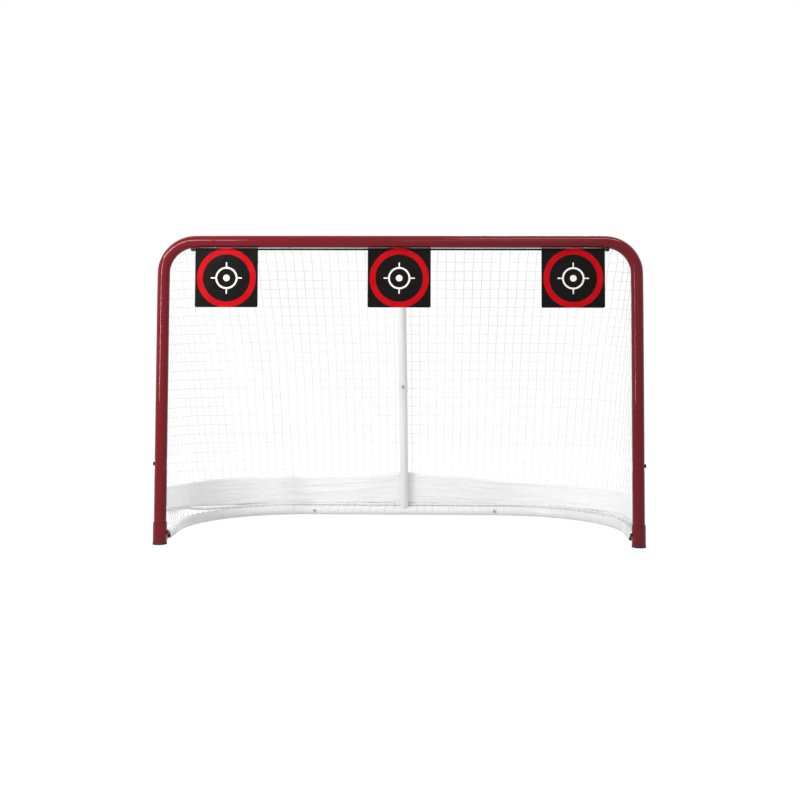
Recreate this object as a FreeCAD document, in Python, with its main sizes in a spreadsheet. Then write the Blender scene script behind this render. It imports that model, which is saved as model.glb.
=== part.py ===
"""Ice hockey goal: red front frame, white base and centre post, hanging targets, net and skirt.

Frame: X to the right seen from the front, front towards -Y, Z up, millimetres. Every piece is
drawn with Y = 0 in the plane of the two goal posts, then moved so that the origin is the middle
of the goal's floor plan.
"""
import FreeCAD, Part
import math
import os
import Sketcher
from FreeCAD import Placement, Rotation, Vector

doc = FreeCAD.newDocument("HockeyGoal")

# Driving sizes: name, value in millimetres or degrees, what it is
SIZES = [
    ("inner_width", 1829, "clear width between the goal posts"),
    ("overall_height", 1220, "floor to the top of the crossbar"),
    ("post_od", 48, "outside diameter of the red tube"),
    ("post_wall", 1.5, "wall of the red tube"),
    ("corner_bend", 128, "centreline radius of the top corners"),
    ("elbow_run", 80, "straight end of each elbow between its bend and the crossbar's seam"),
    ("post_seam_height", 298, "floor to the seam between upper and lower post"),
    ("band_height", 29, "rolled band above the post seam"),
    ("band_depth", 0.5, "how far the band lies below the tube's surface"),
    ("groove_width", 2.5, "rolled groove at the top of the band"),
    ("groove_depth", 1, "depth of the rolled groove"),
    ("swage_length", 50, "reduced tube end that slides into the next tube"),
    ("swage_taper", 3, "cone between full tube and reduced end"),
    ("swage_gap", 0.2, "radial gap of a reduced end in its bore"),
    ("bolt_inset", 17, "seam to the bolt that locks it"),
    ("base_depth", 820, "posts' centreline to the rear tube's centreline"),
    ("base_od", 44.5, "outside diameter of the white base tube"),
    ("base_wall", 1.5, "wall of the base tube"),
    ("base_flare", 4.1, "degrees that each base leg turns outwards"),
    ("base_corner_bend", 490, "centreline radius of the base's rear corners"),
    ("base_end_run", 18, "straight end of each base side between its corner and the rear seam"),
    ("sleeve_od", 54, "outside diameter of the foot socket"),
    ("sleeve_top", 86, "floor to the top of the foot socket"),
    ("sleeve_gap", 0.2, "radial gap of the post in its foot socket"),
    ("stub_reach", 90, "post centreline to the end of the foot socket's stub"),
    ("stub_bolt_reach", 60, "post centreline to the stub's bolt"),
    ("sleeve_bolt_height", 46, "floor to the foot socket's upper bolt"),
    ("cap_od", 55, "outside diameter of the foot cap"),
    ("cap_thickness", 8, "foot cap under the post"),
    ("cap_plug", 18, "foot cap's plug inside the post"),
    ("cap_gap", 0.3, "gap between foot cap and stub"),
    ("prop_od", 38, "outside diameter of the centre post"),
    ("prop_wall", 1.5, "wall of the centre post"),
    ("prop_bend_in", 236, "rear tube's centreline forward to the centre post's lower bend"),
    ("prop_bend_z", 559, "floor to the centre post's lower bend"),
    ("prop_lower_bend", 300, "centreline radius of the lower bend"),
    ("prop_top_y", 201, "posts' centreline to the corner of the upper bend"),
    ("prop_upper_bend", 250, "centreline radius of the upper bend"),
    ("socket_offset", 48, "lower bend's corner to the rim of the socket"),
    ("socket_length", 50, "flared socket of the upper centre post"),
    ("socket_taper", 8, "cone between socket and tube"),
    ("socket_gap", 0.2, "radial gap of the lower tube in the socket"),
    ("socket_bolt", 36, "rim of the socket to its bolt"),
    ("saddle_wall", 2.5, "sheet of the saddles"),
    ("saddle_gap", 0.1, "gap between saddle and the tube it grips"),
    ("base_saddle_width", 40, "saddle round the base tube"),
    ("bar_saddle_width", 96, "saddle behind the crossbar"),
    ("bar_saddle_screw", 34, "goal's middle to each screw of the crossbar saddle"),
    ("base_saddle_screw", 40, "degrees from the rear to the base saddle's screw"),
    ("base_saddle_sweep", 200, "degrees of the base tube that its saddle covers"),
    ("bar_saddle_sweep", 120, "degrees of the crossbar that its saddle covers"),
    ("bolt_shank", 8, "diameter of the frame bolts"),
    ("bolt_across", 13, "width across flats of the frame bolts and nuts"),
    ("bolt_head", 6, "height of a bolt head"),
    ("bolt_reach", 13, "shank of a bolt that ends in a weld nut"),
    ("nut_height", 6, "height of a nut"),
    ("bolt_gap", 0.3, "radial gap of a shank in its hole"),
    ("screw_shank", 4.2, "diameter of the small screws"),
    ("screw_head_od", 8.5, "corner to corner of a small screw's hexagonal head"),
    ("screw_head", 2.5, "height of a small screw's head"),
    ("screw_reach", 7, "shank of a small screw"),
    ("screw_gap", 0.1, "radial gap of a small screw in its hole"),
    ("target_width", 250, "width of a target"),
    ("target_drop", 231, "rod's centreline to a target's lower edge"),
    ("target_sheet", 2.4, "thickness of a target's sheet"),
    ("target_gap", 3, "rod clip to the side target next to it"),
    ("target_sleeve", 1.4, "wall of a target's sleeve round the rod"),
    ("target_play", 0.1, "radial play of the sleeves and clips on the rod"),
    ("target_clearance", 0.6, "sleeve to the crossbar above it"),
    ("target_corner", 6, "radius of a target's lower corners"),
    ("rod_od", 8, "diameter of the rod that the targets hang on"),
    ("rod_inset", 84.5, "clear of each post's inner side to the end of the rod"),
    ("clip_length", 12, "rod clip along the rod"),
    ("clip_width", 30, "rod clip from front to back"),
    ("clip_skin", 3.5, "rod clip below the rod"),
    ("clip_end", 3, "rod clip to the end of the rod"),
    ("clip_seat", 0.2, "gap between clip and crossbar"),
    ("clip_drop", 1.7, "how far the bend has come down at the rod clip"),
    ("net_pitch", 190.5, "mesh of the net, five meshes of the real one in each gap"),
    ("net_cord", 6, "strip left between two gaps"),
    ("net_hem", 9, "strip left along the edge of each net panel"),
    ("net_sheet", 3, "thickness of the net"),
    ("net_fold", 0.55, "each net panel ends this far from a fold"),
    ("net_seat", 0.4, "gap between the net and the tubes that carry it"),
    ("net_foot_reach", 16, "rear tube's centreline back to the net's lower edge"),
    ("net_waist_gap", 30, "centre post's axis to the net's first fold, at the height of its bend"),
    ("net_belly_drop", 416, "crossbar's axis down to the net's second fold"),
    ("net_belly_gap", 63, "centre post's axis to that fold"),
    ("net_shoulder_drop", 116, "crossbar's axis down to the fold under the top of the net"),
    ("net_shoulder_gap", 35, "centre post's axis to that fold"),
    ("net_crown_drop", 20, "crossbar's axis down to the uppermost fold of the net"),
    ("net_crown_y", 222, "posts' centreline to that fold"),
    ("net_slit", 200, "posts' centreline to the end of the slit for the centre post's top"),
    ("net_notch", 1.5, "gap round the fittings that the net's top edge passes"),
    ("skirt_top", 188, "floor to the top edge of the fabric skirt"),
    ("skirt_bottom", 50, "floor to the lower edge of the fabric skirt"),
    ("skirt_sheet", 1.5, "thickness of the fabric skirt"),
    ("skirt_gap", 0.4, "gap between the skirt and the net behind it"),
]

sheet = doc.addObject("Spreadsheet::Sheet", "Sizes")
for row, (alias, size, note) in enumerate(SIZES, start=1):
    sheet.set("A%d" % row, alias)
    sheet.set("B%d" % row, str(size))
    sheet.set("C%d" % row, note)
    sheet.setAlias("B%d" % row, alias)
doc.recompute()

# Sizes that follow from the driving ones, as formulas for the document
POST_R = "(Sizes.post_od / 2)"
POST_X = "(Sizes.inner_width / 2 + Sizes.post_od / 2)"
BAR_Z = "(Sizes.overall_height - Sizes.post_od / 2)"
SEAM_X = "(%s - Sizes.corner_bend - Sizes.elbow_run)" % POST_X
BASE_R = "(Sizes.base_od / 2)"
BASE_TANGENT = "(Sizes.base_corner_bend * tan((90 + Sizes.base_flare) / 2))"
BASE_SEAM = ("(%s + Sizes.base_depth * tan(Sizes.base_flare) - %s - Sizes.base_end_run - Sizes.swage_taper)"
             % (POST_X, BASE_TANGENT))
PROP_R = "(Sizes.prop_od / 2)"
SADDLE_REAR = "(Sizes.base_depth + Sizes.base_od / 2 + Sizes.saddle_gap + Sizes.saddle_wall)"
ORIGIN_Y = "((%s - Sizes.cap_od / 2) / 2)" % SADDLE_REAR
SLEEVE_R = "(Sizes.rod_od / 2 + Sizes.target_play + Sizes.target_sleeve)"
ROD_Z = "(Sizes.overall_height - Sizes.post_od - Sizes.target_clearance - %s)" % SLEEVE_R
ROD_END = "(Sizes.inner_width / 2 - Sizes.rod_inset)"
CLIP_X = "(%s - Sizes.clip_end - Sizes.clip_length / 2)" % ROD_END
TARGET_X = "(%s - Sizes.clip_length / 2 - Sizes.target_gap - Sizes.target_width / 2)" % CLIP_X
PROP_BEND_Y = "(Sizes.base_depth - Sizes.prop_bend_in)"
LEG_LEAN = "(atan(Sizes.prop_bend_in / (Sizes.prop_bend_z - %s)) / 1 deg)" % BASE_R
PROP_LEAN = "(atan((%s - Sizes.prop_top_y) / (%s - Sizes.prop_bend_z)) / 1 deg)" % (PROP_BEND_Y, BAR_Z)

nodes = []


def amount(formula):
    """Value of a formula over the sheet, as a plain number."""
    return float(sheet.evalExpression(formula))


def keep(piece, label):
    """Name a finished piece, whose file takes that name."""
    piece.Label = label
    nodes.append(piece)
    return piece


def place(piece, x="0", y="0", z="0", turn=Rotation()):
    """Set where a piece stands, from formulas measured from the posts' plane."""
    piece.Placement = Placement(Vector(0, 0, 0), turn)
    piece.setExpression("Placement.Base.x", x)
    piece.setExpression("Placement.Base.y", "%s - %s" % (y, ORIGIN_Y))
    piece.setExpression("Placement.Base.z", z)
    return piece


# Sketch and feature helpers

def new_body(name):
    return doc.addObject("PartDesign::Body", name)


def new_sketch(body, name, role="XY_Plane", offset=("0", "0", "0"), axis=Vector(0, 0, 1), angle="0"):
    """A sketch on one of the body's own origin planes, moved and turned by formulas."""
    sketch = body.newObject("Sketcher::SketchObject", name)
    plane = next(f for f in body.Origin.OriginFeatures if f.Role == role)
    sketch.AttachmentSupport = [(plane, "")]
    sketch.MapMode = "FlatFace"
    sketch.AttachmentOffset = Placement(Vector(0, 0, 0), Rotation(axis, 1))
    for direction, formula in zip("xyz", offset):
        sketch.setExpression("AttachmentOffset.Base." + direction, formula)
    sketch.setExpression("AttachmentOffset.Rotation.Angle", angle)
    return sketch


def pin_point(sketch, piece, end, x, y):
    """Hold one point of a sketch at the two formulas, measured from the sketch's origin."""
    for kind, formula, axis in (("DistanceX", x, -2), ("DistanceY", y, -1)):
        number = amount(formula)
        if abs(number) < 1e-9:
            sketch.addConstraint(Sketcher.Constraint("PointOnObject", piece, end, axis))
        else:
            index = sketch.addConstraint(Sketcher.Constraint(kind, -1, 1, piece, end, number))
            sketch.setExpression("Constraints[%d]" % index, formula)


def add_circle(sketch, radius, x="0", y="0"):
    centre = Vector(amount(x), amount(y), 0)
    circle = sketch.addGeometry(Part.Circle(centre, Vector(0, 0, 1), amount(radius)), False)
    if x == "0" and y == "0":
        sketch.addConstraint(Sketcher.Constraint("Coincident", circle, 3, -1, 1))
    else:
        pin_point(sketch, circle, 3, x, y)
    index = sketch.addConstraint(Sketcher.Constraint("Radius", circle, amount(radius)))
    sketch.setExpression("Constraints[%d]" % index, radius)


def add_outline(sketch, corners):
    """A closed outline of straight lines through corners given as formulas."""
    points = [Vector(amount(x), amount(y), 0) for x, y in corners]
    count = len(points)
    lines = [sketch.addGeometry(Part.LineSegment(points[i], points[(i + 1) % count]), False)
             for i in range(count)]
    for i, line in enumerate(lines):
        sketch.addConstraint(Sketcher.Constraint("Coincident", line, 2, lines[(i + 1) % count], 1))
        pin_point(sketch, line, 1, *corners[i])


def pad(body, sketch, length, midplane=False, reverse=False):
    feature = body.newObject("PartDesign::Pad", sketch.Name + "_pad")
    feature.Profile = sketch
    feature.Midplane = midplane
    feature.Reversed = reverse
    feature.setExpression("Length", length)
    return feature


def revolve(body, sketch, axis, kind="Revolution", angle="360"):
    feature = body.newObject("PartDesign::" + kind, sketch.Name + "_turned")
    feature.Profile = sketch
    feature.ReferenceAxis = (sketch, [axis])
    feature.setExpression("Angle", angle)
    return feature


# For each plane of bends: the origin plane that a ring's sketch lies on at heading 0, the axis it
# turns about, how the heading turns it, the heading it has unturned, and the order of its offsets
BEND_PLANES = {
    "XY": ("YZ_Plane", Vector(0, 1, 0), 1, 0, ("y", "0", "x")),
    "XZ": ("YZ_Plane", Vector(1, 0, 0), -1, 0, ("0", "y", "x")),
    "YZ": ("XY_Plane", Vector(1, 0, 0), 1, 90, ("0", "x", "y")),
}


def bent_tube(body, name, plane, start, heading, runs, od, wall):
    """Hollow tube of straight runs (length,) and bends (radius, angle, 1 left or -1 right, faces)."""
    role, axis, sense, unturned, order = BEND_PLANES[plane]

    def ring(tag, x, y, direction):
        spot = {"x": x, "y": y, "0": "0"}
        sketch = new_sketch(body, name + tag, role, tuple(spot[key] for key in order), axis,
                            "%d * (%s - %d)" % (sense, direction, unturned))
        add_circle(sketch, "%s / 2" % od)
        add_circle(sketch, "%s / 2 - %s" % (od, wall))
        return sketch

    x, y = start
    for i, run in enumerate(runs):
        if len(run) == 1:
            pad(body, ring("Run%d" % i, x, y, heading), run[0])
            x = "(%s + (%s) * cos(%s))" % (x, run[0], heading)
            y = "(%s + (%s) * sin(%s))" % (y, run[0], heading)
            continue
        radius, angle, turn, faces = run
        centre = ("(%s - %d * %s * sin(%s))" % (x, turn, radius, heading),
                  "(%s + %d * %s * cos(%s))" % (y, turn, radius, heading))
        rings = []
        for k in range(faces + 1):
            direction = "(%s + %d * %s * %d / %d)" % (heading, turn, angle, k, faces)
            x = "(%s + %d * %s * sin(%s))" % (centre[0], turn, radius, direction)
            y = "(%s - %d * %s * cos(%s))" % (centre[1], turn, radius, direction)
            rings.append(ring("Bend%d_%d" % (i, k), x, y, direction))
        heading = direction
        doc.recompute()
        loft = body.newObject("PartDesign::AdditiveLoft", "%sBend%d" % (name, i))
        loft.Profile = rings[0]
        loft.Sections = rings[1:]
        loft.Ruled = True


def cross_hole(body, name, diameter, role, x, y, offset=("0", "0", "0"), both=True, flip=False,
               axis=Vector(0, 0, 1), angle="0"):
    """A round hole through a tube's wall, checked to have removed material."""
    doc.recompute()
    before = body.Shape.Volume
    sketch = new_sketch(body, name + "_circle", role, offset, axis, angle)
    add_circle(sketch, "%s / 2" % diameter, x, y)
    feature = body.newObject("PartDesign::Pocket", name)
    feature.Profile = sketch
    feature.Type = "ThroughAll"
    feature.Midplane = both
    feature.Reversed = flip
    doc.recompute()
    if not body.Shape.Volume < before - 1:
        raise RuntimeError("%s cuts nothing" % name)
    return feature


BOLT_HOLE = "(Sizes.bolt_shank + 2 * Sizes.bolt_gap)"
SCREW_HOLE = "(Sizes.screw_shank + 2 * Sizes.screw_gap)"


def swage_outline(od, wall):
    """Half section of a reduced tube end, from the full tube outwards along the sketch's X."""
    full = "%s / 2" % od
    bore = "%s / 2 - %s" % (od, wall)
    outer = "%s / 2 - %s - Sizes.swage_gap" % (od, wall)
    inner = "%s / 2 - 2 * %s - Sizes.swage_gap" % (od, wall)
    end = "Sizes.swage_taper + Sizes.swage_length"
    return [("0", full), ("Sizes.swage_taper", outer), (end, outer), (end, inner),
            ("Sizes.swage_taper", inner), ("0", bore)]


# Front frame

def build_crossbar():
    body = new_body("Crossbar")
    ring = new_sketch(body, "CrossbarRing", "YZ_Plane")
    add_circle(ring, POST_R)
    add_circle(ring, POST_R + " - Sizes.post_wall")
    pad(body, ring, "2 * " + SEAM_X, midplane=True)
    for tag, side in (("Left", "-1"), ("Right", "1")):
        cross_hole(body, "CrossbarHole" + tag, BOLT_HOLE, "XZ_Plane",
                   "%s * (%s - Sizes.bolt_inset)" % (side, SEAM_X), "0", both=False)
    for tag, side in (("Left", "-1"), ("Right", "1")):
        cross_hole(body, "SaddleHole" + tag, SCREW_HOLE, "XZ_Plane",
                   side + " * Sizes.bar_saddle_screw", "0", both=False)
    keep(place(body, z=BAR_Z), "crossbar")


def build_upper_post(tag, side):
    """Elbow and upper post: swaged into the crossbar, with a rolled band round its lower end."""
    body = new_body("UpperPost" + tag)
    start = "%s * (%s + Sizes.swage_taper)" % (side, SEAM_X)
    post = "%s * %s" % (side, POST_X)
    drop = "Sizes.post_seam_height - " + BAR_Z
    runs = [("%s - Sizes.corner_bend - %s - Sizes.swage_taper" % (POST_X, SEAM_X),),
            ("Sizes.corner_bend", "90", -int(side), 8),
            ("%s - Sizes.corner_bend - Sizes.post_seam_height" % BAR_Z,)]
    bent_tube(body, "UpperPost" + tag, "XZ", (start, "0"), "(90 - %s * 90)" % side, runs,
              "Sizes.post_od", "Sizes.post_wall")
    swage = new_sketch(body, "BarSwage" + tag, "XZ_Plane", (start, "0", "0"),
                       Vector(0, 0, 1), "90 + %s * 90" % side)
    add_outline(swage, swage_outline("Sizes.post_od", "Sizes.post_wall"))
    revolve(body, swage, "H_Axis")
    band = new_sketch(body, "PostBand" + tag, "XZ_Plane", (post, drop, "0"))
    outside = POST_R + " + 1"
    surface = POST_R + " - Sizes.band_depth"
    groove = POST_R + " - Sizes.groove_depth"
    top = "Sizes.band_height + Sizes.groove_width"
    add_outline(band, [(surface, "0"), (outside, "0"), (outside, top), (groove, top),
                       (groove, "Sizes.band_height"), (surface, "Sizes.band_height")])
    revolve(body, band, "V_Axis", "Groove")
    cross_hole(body, "PostHole" + tag, BOLT_HOLE, "YZ_Plane", "0", drop + " + Sizes.bolt_inset",
               ("0", "0", post), both=False, flip=side == "1")
    cross_hole(body, "ElbowHole" + tag, BOLT_HOLE, "XZ_Plane",
               "%s * (%s - Sizes.bolt_inset)" % (side, SEAM_X), "0", both=False)
    keep(place(body, z=BAR_Z), "upper_post_" + tag.lower())


def build_lower_post(tag, side):
    body = new_body("LowerPost" + tag)
    foot = "Sizes.cap_thickness"
    seam = "Sizes.post_seam_height"
    outline = new_sketch(body, "LowerPostWall" + tag, "XZ_Plane", ("0", foot, "0"), Vector(0, 0, 1), "90")
    swage = swage_outline("Sizes.post_od", "Sizes.post_wall")
    shoulder = "%s - Sizes.swage_taper - %s" % (seam, foot)
    add_outline(outline, [("0", swage[0][1])] + [("%s + %s" % (shoulder, x), y) for x, y in swage]
                + [("0", swage[-1][1])])
    revolve(body, outline, "H_Axis")
    cross_hole(body, "SeamHole" + tag, BOLT_HOLE, "YZ_Plane", "0", seam + " + Sizes.bolt_inset",
               both=False, flip=side == "1")
    cross_hole(body, "SleeveHole" + tag, BOLT_HOLE, "YZ_Plane", "0", "Sizes.sleeve_bolt_height",
               both=False, flip=side == "-1")
    keep(place(body, x="%s * %s" % (side, POST_X)), "lower_post_" + tag.lower())


def build_foot_socket(tag, side):
    """Sleeve round the post's foot with a stub that takes the base tube."""
    body = new_body("FootSocket" + tag)
    bore = POST_R + " + Sizes.sleeve_gap"
    ring = new_sketch(body, "SleeveRing" + tag, "XY_Plane", ("0", "0", "Sizes.cap_thickness"))
    add_circle(ring, "Sizes.sleeve_od / 2")
    pad(body, ring, "Sizes.sleeve_top - Sizes.cap_thickness")
    stub = new_sketch(body, "StubRing" + tag, "XZ_Plane", ("0", BASE_R, "0"), Vector(0, 1, 0),
                      "-%s * Sizes.base_flare" % side)
    add_circle(stub, BASE_R)
    pad(body, stub, "Sizes.stub_reach", reverse=True)
    tunnel = new_sketch(body, "StubBore" + tag, "XZ_Plane", ("0", BASE_R, "0"), Vector(0, 1, 0),
                        "-%s * Sizes.base_flare" % side)
    add_circle(tunnel, BASE_R + " - Sizes.base_wall")
    drill = body.newObject("PartDesign::Pocket", "StubTunnel" + tag)
    drill.Profile = tunnel
    drill.Type = "ThroughAll"
    doc.recompute()
    round_bore = new_sketch(body, "SleeveBore" + tag)
    add_circle(round_bore, bore)
    post_hole = body.newObject("PartDesign::Pocket", "SleeveTunnel" + tag)
    post_hole.Profile = round_bore
    post_hole.Type = "ThroughAll"
    post_hole.Reversed = True
    recess = new_sketch(body, "CapRecess" + tag)
    add_circle(recess, "Sizes.cap_od / 2 + Sizes.cap_gap")
    cap_room = body.newObject("PartDesign::Pocket", "CapRoom" + tag)
    cap_room.Profile = recess
    cap_room.Reversed = True
    cap_room.setExpression("Length", "Sizes.cap_thickness")
    cross_hole(body, "SleeveBolt" + tag, BOLT_HOLE, "YZ_Plane", "0", "Sizes.sleeve_bolt_height",
               both=False, flip=side == "-1")
    cross_hole(body, "StubBolt" + tag, BOLT_HOLE, "YZ_Plane", "Sizes.stub_bolt_reach", BASE_R,
               both=False, flip=side == "-1", axis=Vector(0, 1, 0), angle="-%s * Sizes.base_flare" % side)
    keep(place(body, x="%s * %s" % (side, POST_X)), "foot_socket_" + tag.lower())


def build_foot_cap(tag, side):
    body = new_body("FootCap" + tag)
    half = new_sketch(body, "CapHalf" + tag, "XZ_Plane")
    rim = "Sizes.cap_od / 2"
    plug = POST_R + " - Sizes.post_wall"
    top = "Sizes.cap_thickness + Sizes.cap_plug"
    add_outline(half, [("0", "0"), (rim, "0"), (rim, "Sizes.cap_thickness"),
                       (plug, "Sizes.cap_thickness"), (plug, top), ("0", top)])
    revolve(body, half, "V_Axis")
    keep(place(body, x="%s * %s" % (side, POST_X)), "foot_cap_" + tag.lower())


# Base

LEG_START = "(Sizes.stub_reach + Sizes.swage_taper)"


def build_base_side(tag, side):
    """Leg, rear corner and end of the rear tube, with a reduced end at both seams."""
    body = new_body("BaseSide" + tag)
    front = ("%s * (%s + %s * sin(Sizes.base_flare))" % (side, POST_X, LEG_START),
             "%s * cos(Sizes.base_flare)" % LEG_START)
    rear = ("%s * (%s + Sizes.swage_taper)" % (side, BASE_SEAM), "Sizes.base_depth")
    runs = [("Sizes.base_end_run",),
            ("Sizes.base_corner_bend", "(90 + Sizes.base_flare)", -int(side), 8),
            ("Sizes.base_depth / cos(Sizes.base_flare) - %s - %s" % (BASE_TANGENT, LEG_START),)]
    bent_tube(body, "BaseSide" + tag, "XY", rear, "(90 - %s * 90)" % side, runs,
              "Sizes.base_od", "Sizes.base_wall")
    ends = (("FrontSwage", front, "-(90 + %s * Sizes.base_flare)" % side),
            ("RearSwage", rear, "90 + %s * 90" % side))
    for name, spot, heading in ends:
        sketch = new_sketch(body, name + tag, "XY_Plane", spot + ("0",), Vector(0, 0, 1), heading)
        add_outline(sketch, swage_outline("Sizes.base_od", "Sizes.base_wall"))
        revolve(body, sketch, "H_Axis")
    cross_hole(body, "StubSwageHole" + tag, BOLT_HOLE, "YZ_Plane", "Sizes.stub_bolt_reach", "0",
               ("0", "0", "%s * %s" % (side, POST_X)), both=False, flip=side == "-1",
               axis=Vector(0, 1, 0), angle="-%s * Sizes.base_flare" % side)
    cross_hole(body, "RearSwageHole" + tag, BOLT_HOLE, "XZ_Plane",
               "%s * (%s - Sizes.bolt_inset)" % (side, BASE_SEAM), "0",
               ("0", "0", "-Sizes.base_depth"), both=False, flip=True)
    keep(place(body, z=BASE_R), "base_side_" + tag.lower())


def build_base_rear():
    body = new_body("BaseRear")
    ring = new_sketch(body, "BaseRearRing", "YZ_Plane")
    add_circle(ring, BASE_R)
    add_circle(ring, BASE_R + " - Sizes.base_wall")
    pad(body, ring, "2 * " + BASE_SEAM, midplane=True)
    for tag, side in (("Left", "-1"), ("Right", "1")):
        cross_hole(body, "BaseRearHole" + tag, BOLT_HOLE, "XZ_Plane",
                   "%s * (%s - Sizes.bolt_inset)" % (side, BASE_SEAM), "0", both=False, flip=True)
    cross_hole(body, "BaseSaddleHole", SCREW_HOLE, "XZ_Plane", "0", "0", both=False,
               axis=Vector(1, 0, 0), angle="Sizes.base_saddle_screw")
    keep(place(body, y="Sizes.base_depth", z=BASE_R), "base_rear")


# Centre post

def along_prop(distance):
    """Point of the centre post's upper leg at a distance from the lower bend's corner."""
    return ("%s - (%s) * sin(%s)" % (PROP_BEND_Y, distance, PROP_LEAN),
            "Sizes.prop_bend_z + (%s) * cos(%s)" % (distance, PROP_LEAN))


def fishmouth(body, name, radius, y, z):
    """Cut a tube's end to lie round a tube that runs along X."""
    sketch = new_sketch(body, name + "_circle", "YZ_Plane")
    add_circle(sketch, radius, y, z)
    cut = body.newObject("PartDesign::Pocket", name)
    cut.Profile = sketch
    cut.Type = "ThroughAll"
    cut.Midplane = True
    doc.recompute()
    return cut


SOCKET_END = "(Sizes.socket_offset + Sizes.socket_length)"


def build_centre_post_lower():
    body = new_body("CentrePostLower")
    foot = ("Sizes.base_depth", BASE_R)
    kink = "(%s - %s)" % (PROP_LEAN, LEG_LEAN)
    tangent = "Sizes.prop_lower_bend * tan(%s / 2)" % kink
    runs = [("Sizes.prop_bend_in / sin(%s) - %s" % (LEG_LEAN, tangent),),
            ("Sizes.prop_lower_bend", kink, 1, 2),
            ("%s - %s" % (SOCKET_END, tangent),)]
    bent_tube(body, "PropLower", "YZ", foot, "(90 + %s)" % LEG_LEAN, runs,
              "Sizes.prop_od", "Sizes.prop_wall")
    fishmouth(body, "PropFoot", BASE_R + " + 2 * Sizes.saddle_gap + Sizes.saddle_wall", *foot)
    spot = along_prop("Sizes.socket_offset + Sizes.socket_bolt")
    cross_hole(body, "PropLowerHole", BOLT_HOLE, "XZ_Plane", "0", "0", ("0", spot[1], "-(%s)" % spot[0]),
               axis=Vector(1, 0, 0), angle=PROP_LEAN)
    keep(place(body), "centre_post_lower")


def build_centre_post_upper():
    """Upper tube, flared over the lower one and bent level to meet the crossbar."""
    body = new_body("CentrePostUpper")
    start = along_prop(SOCKET_END + " + Sizes.socket_taper")
    tangent = "Sizes.prop_upper_bend * tan((90 - %s) / 2)" % PROP_LEAN
    runs = [("(%s - Sizes.prop_top_y) / sin(%s) - %s - Sizes.socket_taper - %s"
             % (PROP_BEND_Y, PROP_LEAN, SOCKET_END, tangent),),
            ("Sizes.prop_upper_bend", "(90 - %s)" % PROP_LEAN, 1, 5),
            ("Sizes.prop_top_y - " + tangent,)]
    bent_tube(body, "PropUpper", "YZ", start, "(90 + %s)" % PROP_LEAN, runs,
              "Sizes.prop_od", "Sizes.prop_wall")
    rim = along_prop("Sizes.socket_offset")
    socket = new_sketch(body, "Socket", "YZ_Plane", rim + ("0",), Vector(0, 0, 1), "90 + " + PROP_LEAN)
    bore = PROP_R + " + Sizes.socket_gap"
    outer = bore + " + Sizes.prop_wall"
    length = "Sizes.socket_length"
    end = length + " + Sizes.socket_taper"
    add_outline(socket, [("0", outer), (length, outer), (end, PROP_R),
                         (end, PROP_R + " - Sizes.prop_wall"), (length, bore), ("0", bore)])
    revolve(body, socket, "H_Axis")
    fishmouth(body, "PropTop", POST_R + " + 2 * Sizes.saddle_gap + Sizes.saddle_wall", "0", BAR_Z)
    spot = along_prop("Sizes.socket_offset + Sizes.socket_bolt")
    cross_hole(body, "SocketHole", BOLT_HOLE, "XZ_Plane", "0", "0", ("0", spot[1], "-(%s)" % spot[0]),
               axis=Vector(1, 0, 0), angle=PROP_LEAN)
    keep(place(body), "centre_post_upper")


def build_saddle(name, label, tube_r, width, sweep, middle, screws, y, z):
    """Sheet bent round part of a tube: middle is the direction of its middle, in degrees."""
    body = new_body(name)
    inner = tube_r + " + Sizes.saddle_gap"
    ring = new_sketch(body, name + "Ring", "YZ_Plane")
    add_circle(ring, inner + " + Sizes.saddle_wall")
    add_circle(ring, inner)
    pad(body, ring, width, midplane=True)
    window = new_sketch(body, name + "Window", "YZ_Plane", axis=Vector(0, 0, 1), angle=middle)
    reach = "(2 * (%s + 2 * Sizes.saddle_wall))" % inner
    edge = "%s * cos(%s / 2)" % (reach, sweep)
    side = "%s * sin(%s / 2)" % (reach, sweep)
    back = "-" + reach
    add_outline(window, [("0", "0"), (edge, side), (back, side), (back, "-" + side), (edge, "-" + side)])
    cut = body.newObject("PartDesign::Pocket", name + "Opening")
    cut.Profile = window
    cut.Type = "ThroughAll"
    cut.Midplane = True
    for i, (x, tilt) in enumerate(screws):
        cross_hole(body, "%sHole%d" % (name, i), SCREW_HOLE, "XZ_Plane", x, "0", both=False,
                   axis=Vector(1, 0, 0), angle=tilt)
    keep(place(body, y=y, z=z), label)


# Bolts, nuts and screws

def drive_part(kind, name, sizes):
    part = doc.addObject("Part::" + kind, name)
    for key, formula in sizes.items():
        part.setExpression(key, formula)
    return part


HEX_RADIUS = "Sizes.bolt_across / sqrt(3)"


def hex_bolt(name, reach):
    """Hex head above the origin and shank below it."""
    head = drive_part("Prism", name + "Head", {"Circumradius": HEX_RADIUS, "Height": "Sizes.bolt_head"})
    head.Polygon = 6
    shank = drive_part("Cylinder", name + "Shank", {"Radius": "Sizes.bolt_shank / 2", "Height": reach})
    shank.setExpression("Placement.Base.z", "-(%s)" % reach)
    bolt = doc.addObject("Part::MultiFuse", name)
    bolt.Shapes = [head, shank]
    return bolt


def hex_nut(name, top):
    """Nut whose upper face lies at the height given, with a bore that clears the shank."""
    block = drive_part("Prism", name + "Block", {"Circumradius": HEX_RADIUS, "Height": "Sizes.nut_height"})
    block.Polygon = 6
    bore = drive_part("Cylinder", name + "Bore", {"Radius": "Sizes.bolt_shank / 2 + 0.05",
                                                  "Height": "Sizes.nut_height"})
    for part in (block, bore):
        part.setExpression("Placement.Base.z", "%s - Sizes.nut_height" % top)
    nut = doc.addObject("Part::Cut", name)
    nut.Base = block
    nut.Tool = bore
    return nut


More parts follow.
